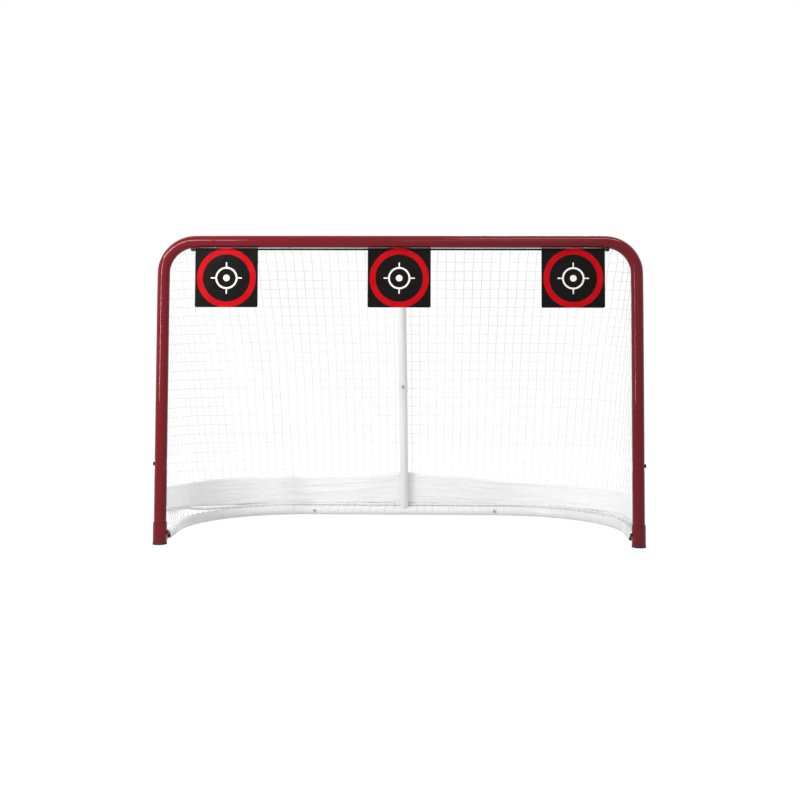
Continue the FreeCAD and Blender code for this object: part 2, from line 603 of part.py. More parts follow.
def small_screw(name):
    head = drive_part("Prism", name + "Head", {"Circumradius": "Sizes.screw_head_od / 2",
                                               "Height": "Sizes.screw_head"})
    head.Polygon = 6
    shank = drive_part("Cylinder", name + "Shank", {"Radius": "Sizes.screw_shank / 2",
                                                    "Height": "Sizes.screw_reach"})
    shank.setExpression("Placement.Base.z", "-Sizes.screw_reach")
    screw = doc.addObject("Part::MultiFuse", name)
    screw.Shapes = [head, shank]
    return screw


def group(label, pieces):
    """Equal fasteners share one node as separate solids."""
    compound = doc.addObject("Part::Compound", label.title().replace("_", ""))
    compound.Links = pieces
    keep(compound, label)


SIDES = (("Left", "-1"), ("Right", "1"))
TO_REAR = Rotation(Vector(1, 0, 0), -90)
TO_FRONT = Rotation(Vector(1, 0, 0), 90)


def outward(side):
    return Rotation(Vector(0, 1, 0), 90 * float(side))


def weld_nut_top(od, wall):
    """Seat of a nut inside a reduced tube end, measured inwards from the full tube's surface.

    The nut's corners touch the curved wall, so its flat face lies below the wall's crown.
    """
    inner = "(%s / 2 - 2 * %s - Sizes.swage_gap)" % (od, wall)
    return "sqrt(%s ^ 2 - Sizes.bolt_across ^ 2 / 3) - %s / 2 - 0.1" % (inner, od)


def build_frame_fasteners():
    bar_bolts = []
    bar_nuts = []
    post_bolts = []
    post_nuts = []
    foot_bolts = []
    foot_nuts = []
    base_bolts = []
    base_nuts = []
    post_nut = weld_nut_top("Sizes.post_od", "Sizes.post_wall")
    base_nut = weld_nut_top("Sizes.base_od", "Sizes.base_wall")
    wall_nut = ("sqrt((%s - Sizes.post_wall) ^ 2 - Sizes.bolt_across ^ 2 / 3) - Sizes.sleeve_od / 2 - 0.1"
                % POST_R)
    band_r = POST_R + " - Sizes.band_depth"
    for tag, side in SIDES:
        inward = outward("-1" if side == "1" else "1")
        x = "%s * (%s - Sizes.bolt_inset)" % (side, SEAM_X)
        bar_bolts.append(place(hex_bolt("BarBolt" + tag, "Sizes.bolt_reach"), x, POST_R, BAR_Z, TO_REAR))
        bar_nuts.append(place(hex_nut("BarNut" + tag, post_nut), x, POST_R, BAR_Z, TO_REAR))
        z = "Sizes.post_seam_height + Sizes.bolt_inset"
        x = "%s * (%s + %s)" % (side, POST_X, band_r)
        post_bolts.append(place(hex_bolt("PostBolt" + tag, "Sizes.bolt_reach"), x, "0", z, outward(side)))
        x = "%s * (%s + %s)" % (side, POST_X, POST_R)
        post_nuts.append(place(hex_nut("PostNut" + tag, post_nut), x, "0", z, outward(side)))
        x = "%s * (%s - Sizes.sleeve_od / 2)" % (side, POST_X)
        z = "Sizes.sleeve_bolt_height"
        foot_bolts.append(place(hex_bolt("SleeveBolt" + tag + "Hex", "Sizes.bolt_reach"), x, "0", z, inward))
        foot_nuts.append(place(hex_nut("SleeveNut" + tag, wall_nut), x, "0", z, inward))
        x = "%s * (%s + Sizes.stub_bolt_reach * sin(Sizes.base_flare) - %s * cos(Sizes.base_flare))" % (
            side, POST_X, BASE_R)
        y = "Sizes.stub_bolt_reach * cos(Sizes.base_flare) + %s * sin(Sizes.base_flare)" % BASE_R
        bolt = place(hex_bolt("StubBolt" + tag + "Hex", "Sizes.bolt_reach"), x, y, BASE_R)
        nut = place(hex_nut("StubNut" + tag, base_nut), x, y, BASE_R)
        square = "rotationz(-%s * Sizes.base_flare) * rotationy(-%s * 90)" % (side, side)
        for piece in (bolt, nut):
            piece.setExpression("Placement.Rotation", square)
        foot_bolts.append(bolt)
        foot_nuts.append(nut)
        x = "%s * (%s - Sizes.bolt_inset)" % (side, BASE_SEAM)
        y = "Sizes.base_depth - %s" % BASE_R
        base_bolts.append(place(hex_bolt("BaseBolt" + tag, "Sizes.bolt_reach"), x, y, BASE_R, TO_FRONT))
        base_nuts.append(place(hex_nut("BaseNut" + tag, base_nut), x, y, BASE_R, TO_FRONT))
    # Each piece of a group already stands in its place
    group("crossbar_bolts", bar_bolts)
    group("crossbar_weld_nuts", bar_nuts)
    group("post_bolts", post_bolts)
    group("post_weld_nuts", post_nuts)
    group("foot_bolts", foot_bolts)
    group("foot_weld_nuts", foot_nuts)
    group("base_bolts", base_bolts)
    group("base_weld_nuts", base_nuts)


def build_prop_fasteners():
    """Bolt through the centre post's socket, head to the front, and its nut behind."""
    spot = along_prop("Sizes.socket_offset + Sizes.socket_bolt")
    radius = "(%s + Sizes.socket_gap + Sizes.prop_wall)" % PROP_R
    lean = amount(PROP_LEAN)
    turn = Rotation(Vector(1, 0, 0), 90 + lean)
    front = ("(%s) - %s * cos(%s)" % (spot[0], radius, PROP_LEAN),
             "(%s) - %s * sin(%s)" % (spot[1], radius, PROP_LEAN))
    reach = "2 * %s + Sizes.nut_height + 2" % radius
    bolt = place(hex_bolt("CentrePostBolt", reach), "0", front[0], front[1], turn)
    bolt.setExpression("Placement.Rotation.Angle", "90 + " + PROP_LEAN)
    nut = place(hex_nut("CentrePostNut", "-2 * " + radius), "0", front[0], front[1], turn)
    nut.setExpression("Placement.Rotation.Angle", "90 + " + PROP_LEAN)
    keep(bolt, "centre_post_bolt")
    keep(nut, "centre_post_nut")
    screws = []
    seat = POST_R + " + Sizes.saddle_gap + Sizes.saddle_wall"
    for tag, side in SIDES:
        screw = small_screw("BarSaddleScrew" + tag)
        screws.append(place(screw, side + " * Sizes.bar_saddle_screw", seat, BAR_Z, TO_REAR))
    seat = "(%s + Sizes.saddle_gap + Sizes.saddle_wall)" % BASE_R
    screw = place(small_screw("BaseSaddleScrew"), "0",
                  "Sizes.base_depth + %s * cos(Sizes.base_saddle_screw)" % seat,
                  "%s + %s * sin(Sizes.base_saddle_screw)" % (BASE_R, seat), Rotation(Vector(-1, 0, 0), 1))
    screw.setExpression("Placement.Rotation.Angle", "90 - Sizes.base_saddle_screw")
    screws.append(screw)
    group("saddle_screws", screws)


# Targets and their rod

def build_rod():
    rod = drive_part("Cylinder", "TargetRod", {"Radius": "Sizes.rod_od / 2", "Height": "2 * " + ROD_END})
    place(rod, x="-" + ROD_END, z=ROD_Z, turn=Rotation(Vector(0, 1, 0), 90))
    keep(rod, "target_rod")


def build_rod_clip(tag, side):
    """Block under the elbow that holds the rod's end, hollowed to seat on the tube above it."""
    middle = "%s * %s" % (side, CLIP_X)
    under = "Sizes.rod_od / 2 + Sizes.clip_skin"
    block = drive_part("Box", "ClipBlock" + tag, {"Length": "Sizes.clip_length", "Width": "Sizes.clip_width",
                                                  "Height": "%s + %s" % (under, POST_R)})
    block.setExpression("Placement.Base.x", "%s - Sizes.clip_length / 2" % middle)
    block.setExpression("Placement.Base.y", "%s - Sizes.clip_width" % under)
    block.setExpression("Placement.Base.z", "%s - (%s)" % (ROD_Z, under))
    tools = doc.addObject("Part::MultiFuse", "ClipTools" + tag)
    bores = []
    for name, radius, height in (("Bore", "Sizes.rod_od / 2 + Sizes.target_play", ROD_Z),
                                 ("Bar", POST_R + " + Sizes.clip_seat", BAR_Z + " - Sizes.clip_drop")):
        bore = drive_part("Cylinder", "Clip" + name + tag, {"Radius": radius,
                                                            "Height": "2 * Sizes.clip_length"})
        bore.Placement = Placement(Vector(0, 0, 0), Rotation(Vector(0, 1, 0), 90))
        bore.setExpression("Placement.Base.x", "%s - Sizes.clip_length" % middle)
        bore.setExpression("Placement.Base.z", height)
        bores.append(bore)
    tools.Shapes = bores
    clip = doc.addObject("Part::Cut", "RodClip" + tag)
    clip.Base = block
    clip.Tool = tools
    keep(place(clip), "rod_clip_" + tag.lower())


def build_target(tag, label, x):
    """Sheet with a sleeve round the rod along its top edge, drawn about the rod's centreline."""
    body = new_body("Target" + tag)
    loop = new_sketch(body, "SleeveLoop" + tag, "YZ_Plane")
    bore = "(Sizes.rod_od / 2 + Sizes.target_play)"
    add_circle(loop, bore + " + Sizes.target_sleeve")
    add_circle(loop, bore)
    pad(body, loop, "Sizes.target_width", midplane=True)
    panel = new_sketch(body, "Panel" + tag, "XZ_Plane")
    half = "Sizes.target_width / 2"
    top = "-(%s + Sizes.target_sleeve / 2)" % bore
    bottom = "-Sizes.target_drop"
    add_outline(panel, [("-" + half, top), ("-" + half, bottom), (half, bottom), (half, top)])
    sheet_pad = pad(body, panel, "Sizes.target_sheet", midplane=True)
    doc.recompute()
    corners = [edge_name(body.Shape, spot) for spot in
               (Vector(-amount(half), 0, amount(bottom)), Vector(amount(half), 0, amount(bottom)))]
    fillet = body.newObject("PartDesign::Fillet", "Corners" + tag)
    fillet.Base = (sheet_pad, corners)
    fillet.setExpression("Radius", "Sizes.target_corner")
    keep(place(body, x=x, z=ROD_Z), label)


def edge_name(shape, spot):
    """Name of the edge whose middle lies at the spot."""
    for i, edge in enumerate(shape.Edges, start=1):
        if (edge.CenterOfMass - spot).Length < 0.01:
            return "Edge%d" % i
    raise RuntimeError("no edge at %s" % spot)


# Net: flat holed faces between level folds, which are copies of the base's plan drawn to the post

def plan_corners(share, start_x, start_y):
    """Corners of one level fold on the right side, from the post to the start of the rear run."""
    flare = amount("Sizes.base_flare")
    bend = amount("Sizes.base_corner_bend")
    depth = amount("Sizes.base_depth")
    leg = (depth - bend - bend * math.sin(math.radians(flare))) / math.cos(math.radians(flare))
    turn = 90 + flare
    chord = 2 * bend * math.sin(math.radians(turn / CORNER_FACES / 2))
    runs = [(leg - start_y / math.cos(math.radians(flare)), -flare)]
    runs += [(chord, -flare + turn * (k + 0.5) / CORNER_FACES) for k in range(CORNER_FACES)]
    x = start_x
    y = start_y
    corners = [(x, y)]
    for length, heading in runs:
        x -= share * length * math.sin(math.radians(heading))
        y += share * length * math.cos(math.radians(heading))
        corners.append((x, y))
    return corners


CORNER_FACES = 3


def net_levels():
    """Height, share of the base plan and start of each fold, from the base tube up to the crossbar."""
    clear = amount("Sizes.net_seat + Sizes.net_sheet / 2")
    seat = amount(POST_R) + clear
    post_x = amount(POST_X)
    bar_z = amount(BAR_Z)
    bend = amount("Sizes.corner_bend")
    depth = amount("Sizes.base_depth")
    bend_z = amount("Sizes.prop_bend_z")
    heights = [(amount("Sizes.base_od + Sizes.net_seat"), amount("Sizes.base_depth + Sizes.net_foot_reach"))]
    for fold, z in (("waist", bend_z), ("belly", bar_z - amount("Sizes.net_belly_drop")),
                    ("shoulder", bar_z - amount("Sizes.net_shoulder_drop"))):
        prop_y = amount("%s - %f * tan(%s)" % (PROP_BEND_Y, z - bend_z, PROP_LEAN))
        heights.append((z, prop_y + amount("Sizes.net_%s_gap" % fold)))
    heights.append((bar_z - amount("Sizes.net_crown_drop"), amount("Sizes.net_crown_y")))
    heights.append((bar_z, seat))
    levels = []
    for z, y in heights:
        rise = max(0.0, z - (bar_z - bend))
        start_x = post_x - bend + math.sqrt(bend ** 2 - rise ** 2)
        start_y = seat if levels else amount("Sizes.sleeve_od / 2") + clear
        levels.append((z, (y - start_y) / (depth - start_y), start_x, start_y))
    return levels


def net_notches():
    """Room in the net's top edge for the centre post, its saddle and the crossbar's bolts."""
    room = amount("Sizes.net_notch")
    post_r = amount(POST_R)
    bar_z = amount(BAR_Z)
    saddle = amount("Sizes.saddle_gap + Sizes.saddle_wall + Sizes.screw_head")
    bolt = amount("Sizes.bolt_across / sqrt(3)") + room
    half = amount("Sizes.bar_saddle_width / 2") + room
    tube = amount(PROP_R) + room
    boxes = [(-half, half, post_r + saddle + room), (-tube, tube, amount("Sizes.net_slit"))]
    for side in (-1, 1):
        middle = side * amount(SEAM_X + " - Sizes.bolt_inset")
        boxes.append((middle - bolt, middle + bolt, post_r + amount("Sizes.bolt_head") + room))
    return Part.makeCompound([Part.makeBox(high - low, end, 2 * post_r, Vector(low, 0, bar_z - post_r))
                              for low, high, end in boxes])


def holed_face(corners, thickness):
    """One net panel: a flat face with square gaps inside its hem, given thickness about its plane."""
    hem = amount("Sizes.net_hem")
    cord = amount("Sizes.net_cord")
    pitch = amount("Sizes.net_pitch")
    fold = amount("Sizes.net_fold")
    across = (corners[1] - corners[0]).normalize()
    normal = across.cross(corners[2] - corners[1]).normalize()
    up = normal.cross(across)
    flat = [Vector((c - corners[0]).dot(across), (c - corners[0]).dot(up), 0) for c in corners]
    outer = inset(flat, fold)
    inner = inset(flat, fold + hem)
    face = Part.Face(Part.makePolygon(outer + outer[:1]))
    box = face.BoundBox
    gaps = []
    if inner:
        room = Part.Face(Part.makePolygon(inner + inner[:1]))
        middle = (box.XMin + box.XMax) / 2
        columns = math.ceil(box.XLength / pitch / 2) + 1
        rows = math.ceil(box.YLength / pitch) + 1
        for i in range(-columns, columns):
            for j in range(rows):
                corner = Vector(middle + i * pitch + cord / 2, box.YMin + j * pitch + cord / 2, 0)
                cell = Part.Face(Part.makePolygon([corner, corner + Vector(pitch - cord, 0, 0),
                                                   corner + Vector(pitch - cord, pitch - cord, 0),
                                                   corner + Vector(0, pitch - cord, 0), corner]))
                piece = room.common(cell)
                if piece.Faces and piece.Area > (2 * cord) ** 2:
                    gaps.extend(piece.Faces)
        if gaps:
            face = face.cut(Part.makeCompound(gaps))
    solid = face.extrude(Vector(0, 0, thickness))
    solid.translate(Vector(0, 0, -thickness / 2))
    frame = FreeCAD.Matrix(across.x, up.x, normal.x, corners[0].x,
                           across.y, up.y, normal.y, corners[0].y,
                           across.z, up.z, normal.z, corners[0].z, 0, 0, 0, 1)
    return solid.transformed(frame), len(gaps)


def inset(points, distance):
    """A flat convex outline moved inwards by a distance, or an empty list where nothing is left."""
    count = len(points)
    area = sum(points[i].x * points[(i + 1) % count].y - points[(i + 1) % count].x * points[i].y
               for i in range(count))
    turn = 1 if area > 0 else -1
    moved = []
    for i in range(count):
        before = (points[i] - points[i - 1]).normalize()
        after = (points[(i + 1) % count] - points[i]).normalize()
        first = Vector(-before.y, before.x, 0) * turn
        second = Vector(-after.y, after.x, 0) * turn
        moved.append(points[i] + (first + second) * (distance / (1 + first.dot(second))))
    for i in range(count):
        if (moved[(i + 1) % count] - moved[i]).dot(points[(i + 1) % count] - points[i]) <= 0:
            return []
    return moved


def net_panel(low, high, low_z, high_z):
    """Corners of the panel between two matching runs of a lower and an upper fold."""
    corners = [Vector(low[0][0], low[0][1], low_z), Vector(low[1][0], low[1][1], low_z),
               Vector(high[1][0], high[1][1], high_z), Vector(high[0][0], high[0][1], high_z)]
    if (corners[3] - corners[2]).Length < 1:
        corners.pop()
    return corners


def build_net():
    levels = net_levels()
    thickness = amount("Sizes.net_sheet")
    rear = []
    sides = {"left": [], "right": []}
    count = 0
    for (low_z, *low_plan), (high_z, *high_plan) in zip(levels, levels[1:]):
        low = plan_corners(*low_plan)
        high = plan_corners(*high_plan)
        corners = net_panel([low[-1], (-low[-1][0], low[-1][1])], [high[-1], (-high[-1][0], high[-1][1])],
                            low_z, high_z)
        solid, gaps = holed_face(corners, thickness)
        rear.append(solid)
        count += gaps
        for k in range(len(low) - 1):
            for name, side in (("left", -1), ("right", 1)):
                run_low = [(side * x, y) for x, y in low[k:k + 2]]
                run_high = [(side * x, y) for x, y in high[k:k + 2]]
                solid, gaps = holed_face(net_panel(run_low, run_high, low_z, high_z), thickness)
                sides[name].append(solid)
                count += gaps
    print("net gaps", count)
    rear[-1] = rear[-1].cut(net_notches())
    for label, solids in (("net_rear", rear), ("net_left", sides["left"]), ("net_right", sides["right"])):
        feature = doc.addObject("Part::Feature", label.title().replace("_", ""))
        feature.Shape = Part.makeCompound(solids)
        keep(place(feature), label)


def build_skirt():
    """Strip of cloth inside the foot of the net, along the base's plan."""
    levels = net_levels()
    low_z, *low_plan = levels[0]
    high_z, *high_plan = levels[1]
    low = plan_corners(*low_plan)
    high = plan_corners(*high_plan)
    gap = amount("Sizes.skirt_gap + Sizes.net_sheet / 2")
    sheet_wall = amount("Sizes.skirt_sheet")
    bottom = amount("Sizes.skirt_bottom")
    top = amount("Sizes.skirt_top")

    def fold_line(z, inward):
        share = (z - low_z) / (high_z - low_z)
        run = [(a[0] + (b[0] - a[0]) * share, a[1] + (b[1] - a[1]) * share) for a, b in zip(low, high)]
        flat = [Vector(x, y, 0) for x, y in run]
        flat += [Vector(-x, y, 0) for x, y in reversed(run)]
        moved = inset(flat, inward)
        return [Vector(p.x, p.y, z) for p in moved]

    rings = [[fold_line(z, inward) for z in (bottom, top)] for inward in (gap, gap + sheet_wall)]
    count = len(rings[0][0])
    faces = []
    for i in range(count - 1):
        for ring in rings:
            faces.append(quad(ring[0][i], ring[0][i + 1], ring[1][i + 1], ring[1][i]))
        for level in (0, 1):
            faces.append(quad(rings[0][level][i], rings[0][level][i + 1],
                              rings[1][level][i + 1], rings[1][level][i]))
    for i in (0, count - 1):
        faces.append(quad(rings[0][0][i], rings[0][1][i], rings[1][1][i], rings[1][0][i]))
    shell = Part.makeShell(faces)
    solid = Part.makeSolid(shell)
    if solid.Volume < 0:
        solid.reverse()
    feature = doc.addObject("Part::Feature", "Skirt")
    feature.Shape = solid
    keep(place(feature), "skirt")


def quad(*corners):
    return Part.Face(Part.makePolygon(list(corners) + [corners[0]]))


build_crossbar()
for tag, side in SIDES:
    build_upper_post(tag, side)
    build_lower_post(tag, side)
    build_foot_socket(tag, side)
    build_foot_cap(tag, side)
    build_base_side(tag, side)
    build_rod_clip(tag, side)
build_base_rear()
build_centre_post_lower()
build_centre_post_upper()
build_saddle("BaseSaddle", "base_saddle", BASE_R, "Sizes.base_saddle_width", "Sizes.base_saddle_sweep",
             "Sizes.base_saddle_sweep / 2", [("0", "Sizes.base_saddle_screw")], "Sizes.base_depth", BASE_R)
build_saddle("BarSaddle", "crossbar_saddle", POST_R, "Sizes.bar_saddle_width", "Sizes.bar_saddle_sweep",
             "0", [("-Sizes.bar_saddle_screw", "0"), ("Sizes.bar_saddle_screw", "0")], "0", BAR_Z)
build_frame_fasteners()
build_prop_fasteners()
build_rod()
build_target("Left", "target_left", "-" + TARGET_X)
build_target("Middle", "target_middle", "0")
build_target("Right", "target_right", TARGET_X)
build_net()
build_skirt()
doc.recompute()

# Check every object, then write each piece to its own file
for piece in doc.Objects:
    if "Invalid" in piece.State or "Error" in piece.State:
        raise RuntimeError("%s failed: %s" % (piece.Name, piece.getStatusString()))
os.makedirs("parts", exist_ok=True)
for piece in nodes:
    if piece.Shape.isNull() or not piece.Shape.isValid():
        raise RuntimeError("%s has no valid shape" % piece.Label)
for piece in nodes:
    piece.Shape.exportStep("parts/%s.step" % piece.Label)
print(len(nodes), "pieces written")
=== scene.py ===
"""Ice hockey goal: paint, twine net, cloth skirt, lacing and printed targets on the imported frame."""
import math
from functools import partial

import bmesh
import bpy
from mathutils import Matrix, Vector


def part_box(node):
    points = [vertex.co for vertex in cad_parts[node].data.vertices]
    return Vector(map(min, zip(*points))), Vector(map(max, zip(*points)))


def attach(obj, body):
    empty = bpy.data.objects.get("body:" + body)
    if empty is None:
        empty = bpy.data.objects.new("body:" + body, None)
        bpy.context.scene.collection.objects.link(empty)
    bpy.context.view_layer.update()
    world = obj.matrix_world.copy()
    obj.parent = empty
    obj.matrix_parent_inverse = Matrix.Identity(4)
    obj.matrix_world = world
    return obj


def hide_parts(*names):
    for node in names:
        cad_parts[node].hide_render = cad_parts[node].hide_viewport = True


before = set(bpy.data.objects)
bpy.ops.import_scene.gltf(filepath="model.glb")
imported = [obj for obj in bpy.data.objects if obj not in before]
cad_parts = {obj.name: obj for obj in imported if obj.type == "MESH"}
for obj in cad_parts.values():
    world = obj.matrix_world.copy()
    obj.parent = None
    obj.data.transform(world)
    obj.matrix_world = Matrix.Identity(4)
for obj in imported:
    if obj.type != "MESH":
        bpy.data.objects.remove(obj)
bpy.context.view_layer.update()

# Sizes in metres. Heights are from the floor, depths from the posts' centreline to the rear.

post_low, post_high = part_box("lower_post_right")
bar_low, bar_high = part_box("crossbar")
base_low, base_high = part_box("base_rear")
rod_low, rod_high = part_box("target_rod")

TUBE_R = (bar_high.z - bar_low.z) / 2
POST_X = (post_low.x + post_high.x) / 2
POST_Y = (post_low.y + post_high.y) / 2
BAR_Z = (bar_low.z + bar_high.z) / 2
BASE_R = (base_high.z - base_low.z) / 2
BASE_DEPTH = (base_low.y + base_high.y) / 2 - POST_Y
ROD_Z = (rod_low.z + rod_high.z) / 2

ELBOW_R = 0.128
BASE_CORNER_R = 0.49
BASE_FLARE = math.radians(4.1)
STUB_LENGTH = 0.1

# Sides of the goal, and the net's middle part between them
LEFT = -1
REAR = 0
RIGHT = 1


# Camera, lights and stage

CAMERA_PLACE = (0.1284, -3.9044, 0.6327)
CAMERA_YAW = math.radians(1.076)
CAMERA_PITCH = math.radians(2.169)
CAMERA_ROLL = math.radians(0.193)
SENSOR_WIDTH = 36
LENS = 39.89
SHIFT_X = -0.0185
SHIFT_Y = -0.062
FARTHEST = 60

# Each softbox: name, place, what it points at, width, height and power in watts
SOFTBOXES = [
    ("Side strip", (-1.71, -1.86, 0.98), (-0.4, -0.4, 0.8), 0.16, 0.9, 17),
    ("Bar strip", (-1.85, -2.1, 1.95), (-0.8, -0.4, 1.2), 1.75, 0.26, 52),
    ("High strip", (1.1, -1.45, 2.9), (0.7, -0.4, 1.2), 1.8, 0.22, 24),
    ("Front softbox", (0.6, -4.6, 2.2), (0, 0, 0.6), 1.6, 1.2, 10),
    ("Rear softbox", (1.2, 4.2, 2.4), (0, 0.3, 0.5), 1.8, 1.4, 60),
]

# Strength of the white surround: as light on the object, and as it is seen
WORLD_LIGHT = 0.65
WORLD_SEEN = 1
FLOOR_LIGHT = 0.67
FLOOR_SEEN = 0.935

# The floor's own tone and roughness, and how far it reaches to each side
FLOOR_TONE = 0.1
FLOOR_ROUGHNESS = 0.9
FLOOR_REACH = 20


def add_object(name, data):
    obj = bpy.data.objects.new(name, data)
    bpy.context.scene.collection.objects.link(obj)
    return obj


def add_mesh(name, points, faces, material):
    """Object with a mesh of faces in one material."""
    mesh = bpy.data.meshes.new(name)
    mesh.from_pydata(points, [], faces)
    mesh.materials.append(material)
    return add_object(name, mesh)


def add_camera():
    """Camera at the photograph's place: 3.5 m in front of the mouth, half way up the goal."""
    level = math.cos(CAMERA_PITCH)
    ahead = Vector((-math.sin(CAMERA_YAW) * level, math.cos(CAMERA_YAW) * level, math.sin(CAMERA_PITCH)))
    right = Vector((math.cos(CAMERA_YAW), math.sin(CAMERA_YAW), 0))
    up = right.cross(ahead)
    cosine = math.cos(CAMERA_ROLL)
    sine = math.sin(CAMERA_ROLL)
    right, up = cosine * right + sine * up, cosine * up - sine * right
    data = bpy.data.cameras.new("Camera")
    data.sensor_width = SENSOR_WIDTH
    data.lens = LENS
    data.shift_x = SHIFT_X
    data.shift_y = SHIFT_Y
    data.clip_end = FARTHEST
    camera = add_object("Camera", data)
    turn = Matrix((right, up, -ahead)).transposed().to_4x4()
    camera.matrix_world = Matrix.Translation(CAMERA_PLACE) @ turn
    bpy.context.scene.camera = camera


def add_softbox(name, place, target, width, height, power):
    data = bpy.data.lights.new(name, "AREA")
    data.shape = "RECTANGLE"
    data.size = width
    data.size_y = height
    data.energy = power
    light = add_object(name, data)
    turn = (Vector(target) - Vector(place)).to_track_quat("-Z", "Y").to_matrix().to_4x4()
    light.matrix_world = Matrix.Translation(place) @ turn


def feed(links, socket, value):
    """Give a socket a fixed value or the output of another node."""
    if isinstance(value, (int, float, tuple)):
        socket.default_value = value
    else:
        links.new(value, socket)


def add_math(nodes, links, operation, *values):
    node = nodes.new("ShaderNodeMath")
    node.operation = operation
    for i, value in enumerate(values):
        feed(links, node.inputs[i], value)
    return node.outputs[0]


def seen_rays(nodes, links):
    """1 for rays from the camera, a gloss or a clear surface, 0 for light that falls on the object."""
    path = nodes.new("ShaderNodeLightPath")
    seen = add_math(nodes, links, "MAXIMUM", path.outputs["Is Camera Ray"], path.outputs["Is Glossy Ray"])
    return add_math(nodes, links, "MAXIMUM", seen, path.outputs["Is Transmission Ray"])


def set_glow(nodes, links, socket, light, seen):
    """Strength of a white surround: one value for its light on the object, another where it is seen."""
    level = nodes.new("ShaderNodeMapRange")
    level.inputs["To Min"].default_value = light
    level.inputs["To Max"].default_value = seen
    links.new(seen_rays(nodes, links), level.inputs["Value"])
    links.new(level.outputs["Result"], socket)


def open_material(material):
    """Nodes, links and main shader of a material."""
    tree = material.node_tree
    return tree.nodes, tree.links, tree.nodes["Principled BSDF"]


def add_world():
    world = bpy.data.worlds.new("Studio")
    world.use_nodes = True
    tree = world.node_tree
    background = tree.nodes["Background"]
    background.inputs["Color"].default_value = (1, 1, 1, 1)
    set_glow(tree.nodes, tree.links, background.inputs["Strength"], WORLD_LIGHT, WORLD_SEEN)
    bpy.context.scene.world = world


def add_floor():
    material = bpy.data.materials.new("Pale floor")
    material.use_nodes = True
    nodes, links, shader = open_material(material)
    shader.inputs["Base Color"].default_value = (FLOOR_TONE, FLOOR_TONE, FLOOR_TONE, 1)
    shader.inputs["Roughness"].default_value = FLOOR_ROUGHNESS
    shader.inputs["Specular IOR Level"].default_value = 0
    shader.inputs["Emission Color"].default_value = (1, 1, 1, 1)
    set_glow(nodes, links, shader.inputs["Emission Strength"], FLOOR_LIGHT, FLOOR_SEEN)
    far = FLOOR_REACH
    corners = [(-far, -far, 0), (far, -far, 0), (far, far, 0), (-far, far, 0)]
    floor = add_mesh("Floor", corners, [(0, 1, 2, 3)], material)


# Shader effects shared by several finishes

GRAIN_STRENGTH = 0.6


def effect(name, sockets):
    """Empty shader group with named sockets: (label, kind, value) in, (label, kind) out."""
    group = bpy.data.node_groups.new(name, "ShaderNodeTree")
    for label, kind, *value in sockets:
        socket = group.interface.new_socket(label, in_out="INPUT" if value else "OUTPUT",
                                            socket_type="NodeSocket" + kind)
        if value:
            socket.default_value = value[0]
    return group, group.nodes.new("NodeGroupInput"), group.nodes.new("NodeGroupOutput")


def noise(nodes, links, vector, scale, detail=3):
    texture = nodes.new("ShaderNodeTexNoise")
    texture.inputs["Detail"].default_value = detail
    feed(links, texture.inputs["Scale"], scale)
    links.new(vector, texture.inputs["Vector"])
    return texture.outputs["Fac"]


def mix_colours(nodes, links, share, first, second):
    mix = nodes.new("ShaderNodeMix")
    mix.data_type = "RGBA"
    for label, value in (("Factor", share), ("A", first), ("B", second)):
        feed(links, mix.inputs[label], value)
    return mix.outputs["Result"]


def add_bump(nodes, links, height, strength, depth):
    bump = nodes.new("ShaderNodeBump")
    bump.inputs["Strength"].default_value = strength
    feed(links, bump.inputs["Distance"], depth)
    links.new(height, bump.inputs["Height"])
    return bump


def lay_relief(nodes, links, shader, height, strength, depth):
    """Relief on top of the one that the shader has already."""
    bump = add_bump(nodes, links, height, strength, depth)
    links.new(shader.inputs["Normal"].links[0].from_socket, bump.inputs["Normal"])
    links.new(bump.outputs["Normal"], shader.inputs["Normal"])


def wave(op, along, pitch):
    return op("SINE", op("MULTIPLY", along, 2 * math.pi / pitch))


def dashes(op, along, pitch, level):
    """1 on each stitch of a seam, 0 between stitches, where a wave is under the level."""
    return op("GREATER_THAN", wave(op, along, pitch), level)


def build_mottle():
    """Two tones in soft patches, a roughness that follows them, and a fine relief."""
    group, start, end = effect("Mottle", [
        ("Tone", "Color", (0.5, 0.5, 0.5, 1)), ("Second tone", "Color", (0.4, 0.4, 0.4, 1)),
        ("Patch scale", "Float", 6.0), ("Smooth", "Float", 0.2), ("Rough", "Float", 0.3),
        ("Grain scale", "Float", 400.0), ("Grain depth", "Float", 0.0002),
        ("Color", "Color"), ("Roughness", "Float"), ("Normal", "Vector")])
    nodes = group.nodes
    links = group.links
    place = nodes.new("ShaderNodeTexCoord").outputs["Object"]
    patch = noise(nodes, links, place, start.outputs["Patch scale"])
    tone = mix_colours(nodes, links, patch, start.outputs["Tone"], start.outputs["Second tone"])
    links.new(tone, end.inputs["Color"])
    level = nodes.new("ShaderNodeMapRange")
    links.new(patch, level.inputs["Value"])
    links.new(start.outputs["Smooth"], level.inputs["To Min"])
    links.new(start.outputs["Rough"], level.inputs["To Max"])
    links.new(level.outputs["Result"], end.inputs["Roughness"])
    grain = noise(nodes, links, place, start.outputs["Grain scale"], 2)
    bump = add_bump(nodes, links, grain, GRAIN_STRENGTH, start.outputs["Grain depth"])
    links.new(bump.outputs["Normal"], end.inputs["Normal"])
    return group


MOTTLE = build_mottle()


